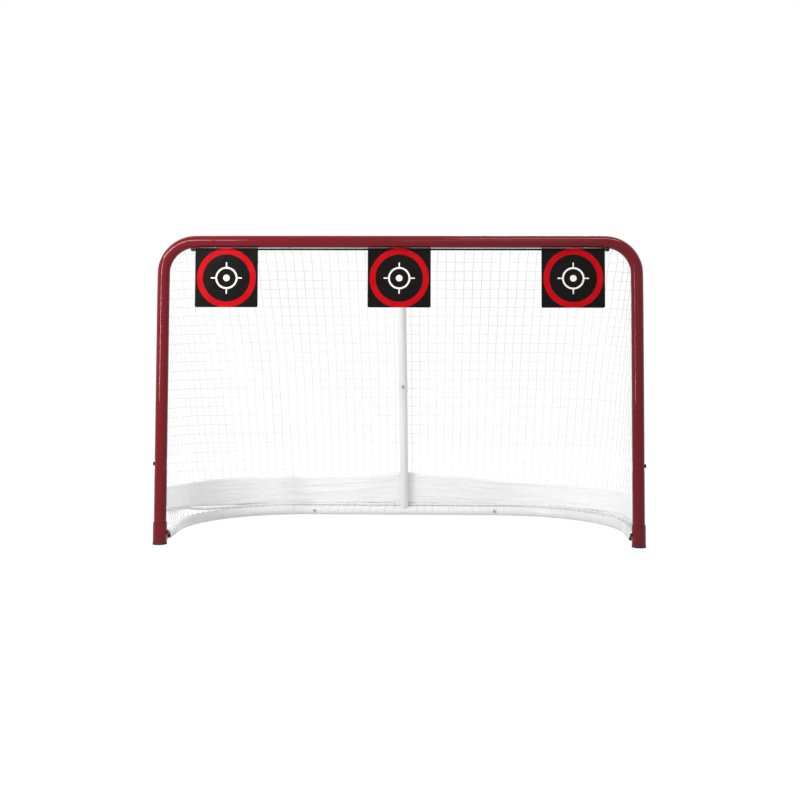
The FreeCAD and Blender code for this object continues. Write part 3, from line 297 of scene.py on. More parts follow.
def make_finish(name, tone, second, patch, smooth, rough, grain, depth, shader_values):
    """Material on the shared mottle, with further values set on the shader itself."""
    material = bpy.data.materials.new(name)
    material.use_nodes = True
    nodes, links, shader = open_material(material)
    for label, value in shader_values.items():
        shader.inputs[label].default_value = value
    mottle = nodes.new("ShaderNodeGroup")
    mottle.node_tree = MOTTLE
    for label, value in (("Tone", (*tone, 1)), ("Second tone", (*second, 1)), ("Patch scale", patch),
                         ("Smooth", smooth), ("Rough", rough), ("Grain scale", grain),
                         ("Grain depth", depth)):
        mottle.inputs[label].default_value = value
    links.new(mottle.outputs["Color"], shader.inputs["Base Color"])
    links.new(mottle.outputs["Roughness"], shader.inputs["Roughness"])
    links.new(mottle.outputs["Normal"], shader.inputs["Normal"])
    return material


# Finishes

# Each: name, two tones, patch scale, least and most roughness, grain scale, grain depth, shader values
FINISHES = {
    "red_paint": ("Red gloss paint", (0.13, 0.003, 0.007), (0.114, 0.0025, 0.0055), 5, 0.08, 0.12,
                  260, 0.00004, {"Specular IOR Level": 0.2}),
    "white_paint": ("White gloss paint", (0.72, 0.72, 0.72), (0.69, 0.69, 0.69), 4, 0.2, 0.28,
                    260, 0.00008, {"Specular IOR Level": 0.3}),
    "black_paint": ("Black rod paint", (0.009, 0.009, 0.009), (0.014, 0.014, 0.014), 14, 0.3, 0.42,
                    500, 0.0001, {"Specular IOR Level": 0.08}),
    "black_bolts": ("Black oxide", (0.014, 0.013, 0.013), (0.026, 0.023, 0.022), 120, 0.38, 0.6,
                    900, 0.0001, {"Specular IOR Level": 0.15}),
    "light_bolts": ("Zinc bolts on white tube", (0.42, 0.42, 0.42), (0.3, 0.3, 0.31), 120, 0.3, 0.5,
                    900, 0.0001, {"Metallic": 0.8}),
    "bare_steel": ("Zinc plate", (0.55, 0.55, 0.56), (0.42, 0.42, 0.44), 90, 0.3, 0.45,
                   800, 0.0001, {"Metallic": 1.0}),
    "dark_rubber": ("Dark rubber", (0.02, 0.014, 0.014), (0.034, 0.026, 0.025), 60, 0.6, 0.8,
                    700, 0.0003, {"Specular IOR Level": 0.25}),
    "black_plastic": ("Black moulding", (0.011, 0.011, 0.011), (0.016, 0.016, 0.016), 50, 0.4, 0.55,
                      900, 0.0002, {"Specular IOR Level": 0.12}),
    "black_vinyl": ("Coated target cloth", (0.0035, 0.0032, 0.0028), (0.006, 0.0056, 0.005), 9, 0.22,
                    0.34, 14, 0.006, {"Specular IOR Level": 0.05}),
    "white_cord": ("White twine", (0.8, 0.8, 0.8), (0.72, 0.72, 0.72), 30, 0.65, 0.8,
                   900, 0.0003, {"Sheen Weight": 0.1}),
    "white_cloth": ("White coated cloth", (0.87, 0.87, 0.87), (0.82, 0.82, 0.82), 5, 0.5, 0.65,
                    26, 0.004, {"Sheen Weight": 0.1}),
}

# Print of a target, round a centre below the rod
RING_DROP = 0.1146
RING_R = 0.1175
RING_WIDTH = 0.0235
BULL_R = 0.044
BULL_WIDTH = 0.007
DOT_R = 0.013
TICK_END = 0.062
TICK_HALF = 0.0025
FRONT_GAP = 0.0005

# Each ink where it is full and where it is worn
RED_INK = ((0.5, 0.0012, 0.006, 1), (0.28, 0.0008, 0.003, 1))
WHITE_INK = ((0.74, 0.74, 0.73, 1), (0.6, 0.6, 0.59, 1))
INK_PATCHES = 17

# Hem and seam of a target, measured inwards from its edges and from the sleeve's lower line
SLEEVE_DROP = 0.012
TURN_IN = 0.011
SEAM_START = 0.008
SEAM_END = 0.0092
SEAM_PITCH = 0.006
SEAM_LEVEL = -0.3
TURN_IN_RELIEF = (0.6, 0.0008)

# Top hem, seam, creases and weave of the skirt
HEM = 0.014
HEM_SEAM = 0.002
HEM_THREAD = 0.0006
HEM_PITCH = 0.005
HEM_LEVEL = -0.4
WEAVE_PITCH = 0.0012
CREASE_ANGLE = math.radians(32)
CREASE_STRETCH = (3, 22, 1)
CREASE_SCALE = 1.6

# Strength and depth of each relief
CREASE_RELIEF = (0.7, 0.012)
HEM_RELIEF = (0.6, 0.0006)
WEAVE_RELIEF = (0.3, 0.0002)


def paint_target(material):
    """Red ring and white bull's-eye with four ticks on the front of each target, and its sewn hem."""
    nodes, links, shader = open_material(material)
    op = partial(add_math, nodes, links)
    spot = nodes.new("ShaderNodeTexCoord").outputs["Object"]
    place = nodes.new("ShaderNodeSeparateXYZ")
    links.new(spot, place.inputs[0])
    low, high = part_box("target_right")
    spacing = (low.x + high.x) / 2

    def band(value, start, end):
        return op("MULTIPLY", op("GREATER_THAN", value, start), op("LESS_THAN", value, end))

    x = op("WRAP", place.outputs["X"], spacing / 2, -spacing / 2)
    z = op("SUBTRACT", place.outputs["Z"], ROD_Z - RING_DROP)
    reach = op("SQRT", op("ADD", op("MULTIPLY", x, x), op("MULTIPLY", z, z)))
    front = op("LESS_THAN", place.outputs["Y"], POST_Y - FRONT_GAP)
    ring = op("MULTIPLY", band(reach, RING_R - RING_WIDTH, RING_R), front)
    nearer = op("MINIMUM", op("ABSOLUTE", x), op("ABSOLUTE", z))
    tick = op("MULTIPLY", band(reach, BULL_R - BULL_WIDTH, TICK_END), op("LESS_THAN", nearer, TICK_HALF))
    white = op("MAXIMUM", band(reach, BULL_R - BULL_WIDTH, BULL_R), op("LESS_THAN", reach, DOT_R))
    white = op("MULTIPLY", op("MAXIMUM", white, tick), front)

    rim = op("SUBTRACT", (high.x - low.x) / 2, op("ABSOLUTE", x))
    rim = op("MINIMUM", rim, op("SUBTRACT", place.outputs["Z"], low.z))
    rim = op("MINIMUM", rim, op("ABSOLUTE", op("SUBTRACT", ROD_Z - SLEEVE_DROP, place.outputs["Z"])))
    along = op("ADD", place.outputs["X"], place.outputs["Z"])
    thread = op("MULTIPLY", band(rim, SEAM_START, SEAM_END), dashes(op, along, SEAM_PITCH, SEAM_LEVEL))
    hem = op("SUBTRACT", op("LESS_THAN", rim, TURN_IN), thread)
    lay_relief(nodes, links, shader, hem, *TURN_IN_RELIEF)

    under = shader.inputs["Base Color"].links[0].from_socket
    uneven = noise(nodes, links, spot, INK_PATCHES)
    for mask, (full, worn) in ((ring, RED_INK), (white, WHITE_INK)):
        ink = mix_colours(nodes, links, uneven, full, worn)
        under = mix_colours(nodes, links, mask, under, ink)
    links.new(under, shader.inputs["Base Color"])


def weave_cloth(material):
    """Slanting creases, a stitched top hem and a plain weave on the skirt, on its own map in metres."""
    nodes, links, shader = open_material(material)
    op = partial(add_math, nodes, links)
    flat = nodes.new("ShaderNodeUVMap").outputs["UV"]
    place = nodes.new("ShaderNodeSeparateXYZ")
    links.new(flat, place.inputs[0])
    along = place.outputs["X"]
    down = place.outputs["Y"]
    weave = op("MULTIPLY", wave(op, along, WEAVE_PITCH), wave(op, down, WEAVE_PITCH))
    seam = op("LESS_THAN", op("ABSOLUTE", op("SUBTRACT", down, HEM - HEM_SEAM)), HEM_THREAD)
    stitch = op("MULTIPLY", seam, dashes(op, along, HEM_PITCH, HEM_LEVEL))
    hem = op("SUBTRACT", op("LESS_THAN", down, HEM), stitch)
    pull = nodes.new("ShaderNodeMapping")
    pull.inputs["Rotation"].default_value = (0, 0, CREASE_ANGLE)
    pull.inputs["Scale"].default_value = CREASE_STRETCH
    links.new(flat, pull.inputs["Vector"])
    creases = noise(nodes, links, pull.outputs["Vector"], CREASE_SCALE, 2)
    lay_relief(nodes, links, shader, creases, *CREASE_RELIEF)
    lay_relief(nodes, links, shader, hem, *HEM_RELIEF)
    lay_relief(nodes, links, shader, weave, *WEAVE_RELIEF)


def make_materials():
    found = {slot: make_finish(*values) for slot, values in FINISHES.items()}
    paint_target(found["black_vinyl"])
    weave_cloth(found["white_cloth"])
    return found


# Geometry trees

SHARPEST = math.radians(30)
MERGE_REACH = 0.00002


def start_tree(name, inputs):
    """Empty geometry tree with named inputs: (label, kind, value)."""
    tree = bpy.data.node_groups.new(name, "GeometryNodeTree")
    tree.interface.new_socket("Geometry", in_out="INPUT", socket_type="NodeSocketGeometry")
    for label, kind, value in inputs:
        socket = tree.interface.new_socket(label, in_out="INPUT", socket_type="NodeSocket" + kind)
        if value is not None:
            socket.default_value = value
    tree.interface.new_socket("Geometry", in_out="OUTPUT", socket_type="NodeSocketGeometry")
    return tree, tree.nodes.new("NodeGroupInput"), tree.nodes.new("NodeGroupOutput")


def stored_value(nodes, kind, name):
    """A value that each point of the mesh carries."""
    node = nodes.new("GeometryNodeInputNamedAttribute")
    node.data_type = kind
    node.inputs["Name"].default_value = name
    return node.outputs["Attribute"]


def build_twine_tree():
    """Every run of edges becomes a round cord, and every point marked as a knot gets a knot."""
    tree, start, end = start_tree("Twine", [
        ("Cord radius", "Float", 0.001), ("Sides", "Int", 6), ("Knot radius", "Float", 0.002),
        ("Material", "Material", None)])
    nodes = tree.nodes
    links = tree.links
    line = nodes.new("GeometryNodeMeshToCurve")
    links.new(start.outputs["Geometry"], line.inputs["Mesh"])
    section = nodes.new("GeometryNodeCurvePrimitiveCircle")
    links.new(start.outputs["Cord radius"], section.inputs["Radius"])
    links.new(start.outputs["Sides"], section.inputs["Resolution"])
    cord = nodes.new("GeometryNodeCurveToMesh")
    cord.inputs["Fill Caps"].default_value = True
    links.new(line.outputs["Curve"], cord.inputs["Curve"])
    links.new(section.outputs["Curve"], cord.inputs["Profile Curve"])
    links.new(stored_value(nodes, "FLOAT", "thickness"), cord.inputs["Scale"])
    ball = nodes.new("GeometryNodeMeshIcoSphere")
    ball.inputs["Subdivisions"].default_value = 1
    links.new(start.outputs["Knot radius"], ball.inputs["Radius"])
    knots = nodes.new("GeometryNodeInstanceOnPoints")
    links.new(start.outputs["Geometry"], knots.inputs["Points"])
    links.new(stored_value(nodes, "BOOLEAN", "knot"), knots.inputs["Selection"])
    links.new(ball.outputs["Mesh"], knots.inputs["Instance"])
    realize = nodes.new("GeometryNodeRealizeInstances")
    links.new(knots.outputs["Instances"], realize.inputs["Geometry"])
    both = nodes.new("GeometryNodeJoinGeometry")
    links.new(cord.outputs["Mesh"], both.inputs["Geometry"])
    links.new(realize.outputs["Geometry"], both.inputs["Geometry"])
    smooth = nodes.new("GeometryNodeSetShadeSmooth")
    links.new(both.outputs["Geometry"], smooth.inputs["Geometry"])
    colour = nodes.new("GeometryNodeSetMaterial")
    links.new(smooth.outputs["Geometry"], colour.inputs["Geometry"])
    links.new(start.outputs["Material"], colour.inputs["Material"])
    links.new(colour.outputs["Geometry"], end.inputs["Geometry"])
    return tree


def build_smoothing_tree():
    """Round off and shade a bent tube as one smooth surface, with edges only where it turns sharply."""
    tree, start, end = start_tree("Smooth tube", [("Sharpest", "Float", SHARPEST), ("Levels", "Int", 1)])
    nodes = tree.nodes
    links = tree.links
    bare = nodes.new("GeometryNodeRemoveAttribute")
    bare.inputs["Name"].default_value = "custom_normal"
    links.new(start.outputs["Geometry"], bare.inputs["Geometry"])
    merge = nodes.new("GeometryNodeMergeByDistance")
    merge.inputs["Distance"].default_value = MERGE_REACH
    links.new(bare.outputs["Geometry"], merge.inputs["Geometry"])
    turn = nodes.new("GeometryNodeInputMeshEdgeAngle")
    sharp = nodes.new("FunctionNodeCompare")
    sharp.operation = "GREATER_THAN"
    links.new(turn.outputs["Unsigned Angle"], sharp.inputs["A"])
    links.new(start.outputs["Sharpest"], sharp.inputs["B"])
    round_off = nodes.new("GeometryNodeSubdivisionSurface")
    links.new(merge.outputs["Geometry"], round_off.inputs["Mesh"])
    links.new(start.outputs["Levels"], round_off.inputs["Level"])
    links.new(sharp.outputs["Result"], round_off.inputs["Edge Crease"])
    smooth = nodes.new("GeometryNodeSetShadeSmooth")
    links.new(round_off.outputs["Mesh"], smooth.inputs["Geometry"])
    crease = nodes.new("GeometryNodeSetShadeSmooth")
    crease.domain = "EDGE"
    crease.inputs["Shade Smooth"].default_value = False
    links.new(smooth.outputs["Geometry"], crease.inputs["Geometry"])
    links.new(sharp.outputs["Result"], crease.inputs["Selection"])
    links.new(crease.outputs["Geometry"], end.inputs["Geometry"])
    return tree


def set_inputs(modifier, values):
    for item in modifier.node_group.interface.items_tree:
        if item.in_out == "INPUT" and item.name in values:
            modifier[item.identifier] = values[item.name]


TWINE_TREE = build_twine_tree()
SMOOTHING_TREE = build_smoothing_tree()

TWINE_SIDES = 6
KNOT_R = 0.0016


def grow_cord(name, runs, radius, material, knots=(), shares=None):
    """Plain mesh of cords along runs of points, with a knot at each point of knots.

    Each run has the radius times its own share of it.
    """
    points = [p for run in runs for p in run]
    shares = shares or [1] * len(runs)
    widths = [share for run, share in zip(runs, shares) for _ in run]
    edges = []
    first = 0
    for run in runs:
        edges += [(first + i, first + i + 1) for i in range(len(run) - 1)]
        first += len(run)
    mesh = bpy.data.meshes.new(name)
    mesh.from_pydata(points + list(knots), edges, [])
    marks = mesh.attributes.new("knot", "BOOLEAN", "POINT")
    marks.data.foreach_set("value", [False] * len(points) + [True] * len(knots))
    thickness = mesh.attributes.new("thickness", "FLOAT", "POINT")
    thickness.data.foreach_set("value", widths + [1] * len(knots))
    obj = add_object(name, mesh)
    modifier = obj.modifiers.new("Cord", "NODES")
    modifier.node_group = TWINE_TREE
    set_inputs(modifier, {"Cord radius": radius, "Sides": TWINE_SIDES, "Knot radius": KNOT_R,
                          "Material": material})
    shown = obj.evaluated_get(bpy.context.evaluated_depsgraph_get())
    obj.data = bpy.data.meshes.new_from_object(shown)
    obj.modifiers.clear()
    bpy.data.meshes.remove(mesh)
    return obj


# Net: rows numbered from the foot to the crossbar, columns by their distance from the rear's middle

MESH = 0.0381
TWINE_R = 0.00092
BORDER_R = 0.0026
REAR_COLUMNS = 11
WALL_ROWS = 28
ROOF_ROWS = 5
TOP_ROW = WALL_ROWS + ROOF_ROWS

# Radius of the strings across, as a share of the upright ones'
ROW_SHARE = 0.78

# The net runs down the centre post's rear side: height and depth of its middle
REAR_PROFILE = [(0.045, 0.836), (0.21, 0.765), (0.33, 0.712), (0.446, 0.661),
                (0.559, 0.613), (0.669, 0.573), (0.777, 0.515), (0.881, 0.44),
                (0.98, 0.366), (1.077, 0.304), (1.13, 0.264), (1.178, 0.216)]

# Heights of the foot at the rear and at each post, and of the last row below the roof
FOOT_Z = 0.152
POST_FOOT_Z = {LEFT: 0.125, RIGHT: 0.085}
SHOULDER_Z = 1.15

# Lines where the net meets the tubes' rear: crossbar, posts, and foot sockets up to their top
BAR_EDGE_Z = BAR_Z + 0.011
BAR_EDGE_Y = 0.0255
POST_SEAT = 0.0275
SLEEVE_SEAT = 0.031
SLEEVE_TOP = 0.09

# Rows run level at this height and spread with depth from this far in front of the posts
LEVEL_Z = 0.633
SPREAD = 3.52
SPREAD_ROUNDS = 8

# Axis of the centre post's top bend, and the half width over which the net slopes off it
CREST_Y = 0.0596
CREST_Z = 0.946
CREST_R = 0.269
CREST_LIFT = 0.004
TENT = 0.16

# Unevenness of the knots, and the least distance of a knot from its post as a share of a mesh
SLACK = 0.0016
END_SPACE = 0.3
TINY = 1e-6


def rear_depth(z):
    """Depth of the net's middle at a height, along the centre post."""
    for (low_z, low_y), (high_z, high_y) in zip(REAR_PROFILE, REAR_PROFILE[1:]):
        if z <= high_z:
            return low_y + (high_y - low_y) * (z - low_z) / (high_z - low_z)
    return REAR_PROFILE[-1][1]


def row_line(row, side):
    """Rear depth and height of a row, then its post's x, depth and height."""
    share = min(row / WALL_ROWS, 1)
    level = FOOT_Z + (SHOULDER_Z - FOOT_Z) * share
    rear_z = level
    for _ in range(SPREAD_ROUNDS):
        rear_z = LEVEL_Z + (level - LEVEL_Z) * (SPREAD + rear_depth(rear_z)) / SPREAD
    depth = rear_depth(rear_z)
    foot = POST_FOOT_Z[side]
    post_z = foot + (SHOULDER_Z - foot) * share
    seat = SLEEVE_SEAT if post_z < SLEEVE_TOP else POST_SEAT
    roof = max(row - WALL_ROWS, 0) / ROOF_ROWS
    depth += (BAR_EDGE_Y - depth) * roof
    rear_z += (BAR_EDGE_Z - rear_z) * roof
    rise = max(0, min(ELBOW_R, post_z + (BAR_Z - post_z) * roof - (BAR_Z - ELBOW_R)))
    post_x = POST_X - ELBOW_R + math.sqrt(ELBOW_R ** 2 - rise ** 2)
    post_z += (BAR_EDGE_Z - post_z) * roof
    seat += (BAR_EDGE_Y - seat) * roof
    return depth, rear_z, post_x, seat, post_z


def plan_parts(depth, post_x, seat):
    """Half the straight rear, corner radius, leg and turn of a level line like the base tube's plan."""
    turn = math.pi / 2 + BASE_FLARE
    bend = BASE_CORNER_R * (depth - seat) / (BASE_DEPTH - seat)
    leg = (depth - seat - bend * (1 - math.cos(turn))) / math.sin(turn)
    straight = post_x - bend * math.sin(turn) - leg * math.cos(turn)
    return straight, bend, leg, turn


def plan_length(depth, post_x, seat):
    """Length of such a line from the rear's middle to its post."""
    straight, bend, leg, turn = plan_parts(depth, post_x, seat)
    return straight + bend * turn + leg


def plan_point(along, depth, post_x, seat):
    """Place and heading on a level line, at a distance along it from its middle."""
    straight, bend, _, turn = plan_parts(depth, post_x, seat)
    if along <= straight:
        return along, depth, 0
    angle = min((along - straight) / max(bend, TINY), turn)
    rest = max(along - straight - bend * turn, 0)
    x = straight + bend * math.sin(angle) + rest * math.cos(turn)
    y = depth - bend * (1 - math.cos(angle)) - rest * math.sin(turn)
    return x, y, angle


def row_length(row, side):
    depth, _, post_x, seat, _ = row_line(row, side)
    return plan_length(depth, post_x, seat)


def over_crest(x, y, z):
    """Lift the net where it passes over the centre post's top."""
    back = max(y - CREST_Y, 0)
    if back >= CREST_R:
        return z
    crest = CREST_Z + math.sqrt(CREST_R ** 2 - back ** 2) + CREST_LIFT
    return z + max(crest - z, 0) * max(1 - abs(x) / TENT, 0) ** 2


def net_place(along, row, side, inward=0.0):
    """Point of the net in the frame's axes, moved inwards by a distance."""
    depth, rear_z, post_x, seat, post_z = row_line(row, side)
    x, y, heading = plan_point(along, depth, post_x, seat)
    x -= inward * math.sin(heading)
    y -= inward * math.cos(heading)
    forward = (depth - y) / max(depth - seat, TINY)
    z = rear_z + (post_z - rear_z) * min(max(forward, 0), 1)
    return Vector((side * x, y + POST_Y, over_crest(x, y, z)))


def slack(column, row, side):
    """Small fixed unevenness of a knot in its net."""
    sway = math.sin(1.7 * column + 2.3 * row + side) + math.sin(3.1 * column - 1.3 * row)
    drop = math.sin(0.9 * column + 4.1 * row) + math.sin(2.7 * row - 1.9 * column + side)
    return Vector((sway, 0, drop)) * (SLACK / 2)


def lay_net():
    """Strings of the three nets, their knots, and the border from the left foot round to the right."""
    strings = {REAR: [], LEFT: [], RIGHT: []}
    knots = {REAR: [], LEFT: [], RIGHT: []}
    border = {}
    for side in (LEFT, RIGHT):
        lengths = [row_length(row, side) for row in range(TOP_ROW + 1)]
        columns = int(lengths[0] / MESH)
        ends = [net_place(lengths[row], row, side) for row in range(TOP_ROW + 1)]
        grid = {}
        for row in range(TOP_ROW):
            for column in range(min(columns, int(lengths[row] / MESH - END_SPACE)) + 1):
                spot = net_place(column * MESH, row, side)
                if row > 0:
                    spot += slack(column, row, side)
                grid[column, row] = spot
        for column in range(columns + 1):
            run = [grid[column, row] for row in range(TOP_ROW) if (column, row) in grid]
            if len(run) < TOP_ROW:
                run.append(ends[len(run)])
            else:
                run.append(net_place(min(column * MESH, lengths[TOP_ROW]), TOP_ROW, side))
            part = REAR if column <= REAR_COLUMNS else side
            if column > 0 or side == RIGHT:
                strings[part].append((run, 1))
                knots[part] += run[:-1]
        for row in range(TOP_ROW):
            run = [grid[column, row] for column in range(columns + 1) if (column, row) in grid]
            strings[REAR].append((run[:REAR_COLUMNS + 1], ROW_SHARE))
            strings[side].append((run[REAR_COLUMNS:] + [ends[row]], ROW_SHARE))
        border[side] = ends
    reach = int(lengths[TOP_ROW] / MESH)
    across = [net_place(abs(x) * MESH, TOP_ROW, LEFT if x < 0 else RIGHT)
              for x in range(-reach, reach + 1)]
    return strings, knots, border[LEFT] + across + border[RIGHT][::-1]


def build_net(material):
    strings, knots, border = lay_net()
    for part, name, node in ((REAR, "net_rear_twine", "net_rear"), (LEFT, "net_left_twine", "net_left"),
                             (RIGHT, "net_right_twine", "net_right")):
        runs, shares = zip(*strings[part])
        net = grow_cord(name, runs, TWINE_R, material, knots[part], shares)
        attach(net, "frame")
        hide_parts(node)
    rope = grow_cord("net_border", [border], BORDER_R, material)
    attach(rope, "frame")


# Foot rope and lacing on the base tube

STRAND_R = 0.0029
ROPE_TWIST = 0.0031
ROPE_PITCH = 0.075
ROPE_STEP = 0.006
ROPE_OUT = 0.001
ROPE_RISE = 0.03

# Each turn of the lacing: points round the tube, in degrees from the goal's inside over its top, and
# the part of a mesh that it covers along the tube
LACE_R = 0.0014
LACE_POINTS = 14
LACE_START = 150
LACE_TURN = 20
LACE_LEAD = 0.3
LACE_SPAN = 0.4

# Hump of a turn over the rope: half its width in radians, its slope, and how far above the tube the
# net's foot may be
HUMP_HALF = 0.7
HUMP_SLOPE = 1.4
HUMP_NEAR = 0.02


def base_place(along, side, out, lift):
    """Point beside the base tube's centreline: out is away from the goal, lift is upwards."""
    x, y, heading = plan_point(along, BASE_DEPTH, POST_X, 0)
    return Vector((side * (x + out * math.sin(heading)), y + POST_Y + out * math.cos(heading),
                   max(BASE_R + lift, LACE_R)))


def build_foot_rope(material):
    """Three strands twisted into one rope.

    It lies on the base tube at the rear and rises with the net's foot towards the posts.
    """
    last = {side: int(row_length(0, side) / ROPE_STEP) for side in (LEFT, RIGHT)}
    strands = [[], [], []]
    for i in range(-last[LEFT], last[RIGHT] + 1):
        side = LEFT if i < 0 else RIGHT
        along = abs(i) * ROPE_STEP
        net = net_place(along, 0, side)
        tube = base_place(along, side, ROPE_OUT, BASE_R + ROPE_TWIST + STRAND_R)
        middle = tube.lerp(net, min(max((net.z - tube.z) / ROPE_RISE, 0), 1))
        outward = base_place(along, side, 1, 0) - base_place(along, side, 0, 0)
        for strand, run in enumerate(strands):
            angle = 2 * math.pi * (i * ROPE_STEP / ROPE_PITCH + strand / len(strands))
            lift = Vector((0, 0, ROPE_TWIST * math.sin(angle)))
            run.append(middle + outward * (ROPE_TWIST * math.cos(angle)) + lift)
    rope = grow_cord("foot_rope", strands, STRAND_R, material)
    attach(rope, "frame")


def build_lacing(material):
    """A cord from each knot of the net's foot round the base tube to the next knot."""
    limit = plan_length(BASE_DEPTH, POST_X, 0) - STUB_LENGTH
    runs = []
    for side in (LEFT, RIGHT):
        run = []
        for column in range(int(row_length(0, side) / MESH) + 1):
            along = column * MESH
            knot = net_place(along, 0, side)
            run.append(knot)
            if along + MESH > limit:
                break
            over_rope = knot.z < 2 * BASE_R + HUMP_NEAR
            for step in range(LACE_POINTS):
                angle = math.radians(LACE_START - step * LACE_TURN)
                hump = max(0, 1 - abs(angle - math.pi / 2) / HUMP_HALF) if over_rope else 0
                reach = BASE_R + LACE_R + 2 * (ROPE_TWIST + STRAND_R) * min(HUMP_SLOPE * hump, 1)
                spot = along + MESH * (LACE_LEAD + LACE_SPAN * step / (LACE_POINTS - 1))
                run.append(base_place(spot, side, -reach * math.cos(angle), reach * math.sin(angle)))
        runs.append(run)
    lacing = grow_cord("base_lacing", runs, LACE_R, material)
    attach(lacing, "frame")


# Skirt

# Height of the top edge at distances from the rear's middle
SKIRT_TOP = {LEFT: [(0, 0.213), (0.25, 0.198), (0.52, 0.188), (1.13, 0.192), (1.55, 0.222)],
             RIGHT: [(0, 0.213), (0.16, 0.202), (0.29, 0.191), (0.38, 0.176), (0.52, 0.167), (1.0, 0.163),
                     (1.55, 0.186)]}
SKIRT_LIFT = 0.005
SKIRT_STEP = 0.012
SKIRT_LEVELS = 10
SKIRT_SHEET = 0.0008
SKIRT_INSET = 0.0045
FOLD_DEPTH = 0.0012

# The skirt is as long as this row of the net, less a gap to each post
SKIRT_END_ROW = 3
SKIRT_END_GAP = 0.012

# Rows among which a height is searched
SEARCH_TOP = 10.0
SEARCH_ROUNDS = 14


def edge_height(edge, along):
    for (low, low_z), (high, high_z) in zip(edge, edge[1:]):
        if along <= high:
            return low_z + (high_z - low_z) * (along - low) / (high - low)
    return edge[-1][1]


def row_at(along, z, side):
    """Row of the net that passes a height at a distance from the rear's middle."""
    low = 0.0
    high = SEARCH_TOP
    for _ in range(SEARCH_ROUNDS):
        middle = (low + high) / 2
        if net_place(min(along, row_length(middle, side)), middle, side).z < z:
            low = middle
        else:
            high = middle
    return middle


def fold_depth(along, share, end):
    """Distance of the cloth inwards from the net, with waves that deepen towards the post."""
    waves = math.sin(along * 31 + 2.2 * share) + 0.6 * math.sin(along * 71 - 3 * share + 1)
    return SKIRT_INSET + FOLD_DEPTH * (1 + waves) * (0.5 + 1.5 * (along / end) ** 4)


def build_skirt(material):
    """Cloth strip inside the foot of the net, with soft folds that grow towards the posts."""
    end = {side: row_length(SKIRT_END_ROW, side) - SKIRT_END_GAP for side in (LEFT, RIGHT)}
    count = {side: int(end[side] / SKIRT_STEP) for side in (LEFT, RIGHT)}
    points = []
    flat = []
    for i in range(-count[LEFT], count[RIGHT] + 1):
        side = LEFT if i < 0 else RIGHT
        along = abs(i) * end[side] / count[side]
        foot = net_place(along, 0, side).z + SKIRT_LIFT
        top = edge_height(SKIRT_TOP[side], along)
        for level in range(SKIRT_LEVELS + 1):
            share = level / SKIRT_LEVELS
            z = foot + (top - foot) * share
            row = row_at(along, z, side)
            inward = fold_depth(along, share, end[side])
            points.append(net_place(min(along, row_length(row, side)), row, side, inward))
            flat.append((side * along, top - z))
    wide = SKIRT_LEVELS + 1
    faces = []
    for i in range(count[LEFT] + count[RIGHT]):
        for level in range(SKIRT_LEVELS):
            a = i * wide + level
            faces.append((a, a + wide, a + wide + 1, a + 1))
    skirt = add_mesh("skirt_cloth", points, faces, material)
    layer = skirt.data.uv_layers.new(name="UVMap")
    for loop in skirt.data.loops:
        layer.data[loop.index].uv = flat[loop.vertex_index]
    skirt.data.polygons.foreach_set("use_smooth", [True] * len(faces))
    wall = skirt.modifiers.new("Cloth", "SOLIDIFY")
    wall.thickness = SKIRT_SHEET
    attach(skirt, "frame")
    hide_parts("skirt")


# Rod clips

CLIP_BORE = 0.00405
CLIP_WALL = 0.0075
CLIP_DROP = 0.0017
CLIP_SEAT = 0.0002
CLIP_POINTS = 48
CLIP_EDGE = 0.0006
CLIP_EDGE_STEPS = 2
CLIP_EDGE_ANGLE = math.radians(40)


def clip_reach(angle):
    """Distance from the rod's axis to the clip's outside, at an angle from straight up."""
    wall = CLIP_WALL / max(abs(math.sin(angle)), abs(math.cos(angle)))
    rise = BAR_Z - CLIP_DROP - ROD_Z
    square = (TUBE_R + CLIP_SEAT) ** 2 - (rise * math.sin(angle)) ** 2
    if math.cos(angle) > 0 and square > 0:
        wall = min(wall, rise * math.cos(angle) - math.sqrt(square))
    return wall


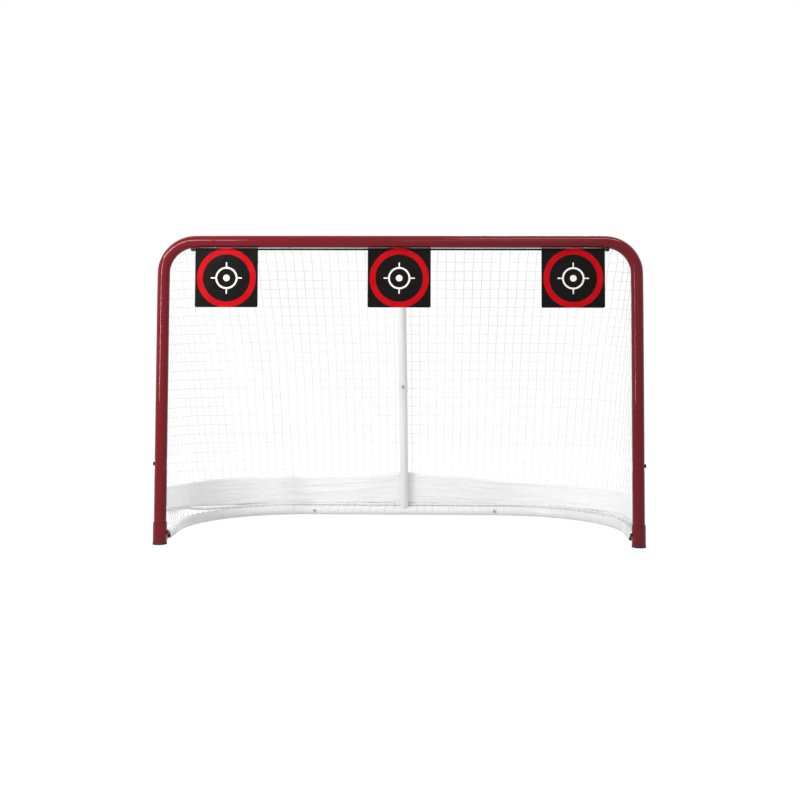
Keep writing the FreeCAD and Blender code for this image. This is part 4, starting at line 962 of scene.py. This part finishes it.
def build_rod_clip(side, material):
    """Small moulded clip round an end of the target rod, hollowed to the crossbar above it."""
    low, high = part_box("rod_clip_" + side)
    points = []
    for x, outside in ((low.x, False), (low.x, True), (high.x, True), (high.x, False)):
        for i in range(CLIP_POINTS):
            angle = 2 * math.pi * (i + 0.5) / CLIP_POINTS
            reach = clip_reach(angle) if outside else CLIP_BORE
            points.append((x, POST_Y + reach * math.sin(angle), ROD_Z + reach * math.cos(angle)))
    faces = []
    for ring in range(4):
        a = ring * CLIP_POINTS
        b = (ring + 1) % 4 * CLIP_POINTS
        for i in range(CLIP_POINTS):
            j = (i + 1) % CLIP_POINTS
            faces.append((a + i, a + j, b + j, b + i))
    clip = add_mesh("rod_clip_" + side + "_moulding", points, faces, material)
    shell = bmesh.new()
    shell.from_mesh(clip.data)
    bmesh.ops.recalc_face_normals(shell, faces=shell.faces)
    shell.to_mesh(clip.data)
    shell.free()
    edge = clip.modifiers.new("Edge", "BEVEL")
    edge.width = CLIP_EDGE
    edge.segments = CLIP_EDGE_STEPS
    edge.limit_method = "ANGLE"
    edge.angle_limit = CLIP_EDGE_ANGLE
    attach(clip, "frame")
    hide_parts("rod_clip_" + side)


# Finishes of the frame's own nodes

BENT_TUBES = ("base_side_left", "base_side_right", "upper_post_left", "upper_post_right",
              "centre_post_lower", "centre_post_upper")
WHITE_SIDE_BOLTS = ("base_bolts", "centre_post_bolt")


def dress_frame(materials):
    """Give each node its finish, and smooth the bent tubes."""
    for name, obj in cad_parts.items():
        for slot in obj.material_slots:
            finish = "light_bolts" if name in WHITE_SIDE_BOLTS else slot.material.name.split(".")[0]
            slot.material = materials[finish]
        if name in BENT_TUBES:
            modifier = obj.modifiers.new("Smooth", "NODES")
            modifier.node_group = SMOOTHING_TREE
            set_inputs(modifier, {"Sharpest": SHARPEST})


add_camera()
add_world()
add_floor()
for softbox in SOFTBOXES:
    add_softbox(*softbox)
materials = make_materials()
dress_frame(materials)
build_net(materials["white_cord"])
build_foot_rope(materials["white_cord"])
build_lacing(materials["white_cord"])
build_skirt(materials["white_cloth"])
build_rod_clip("left", materials["black_plastic"])
build_rod_clip("right", materials["black_plastic"])
bpy.context.scene.view_settings.view_transform = "Standard"
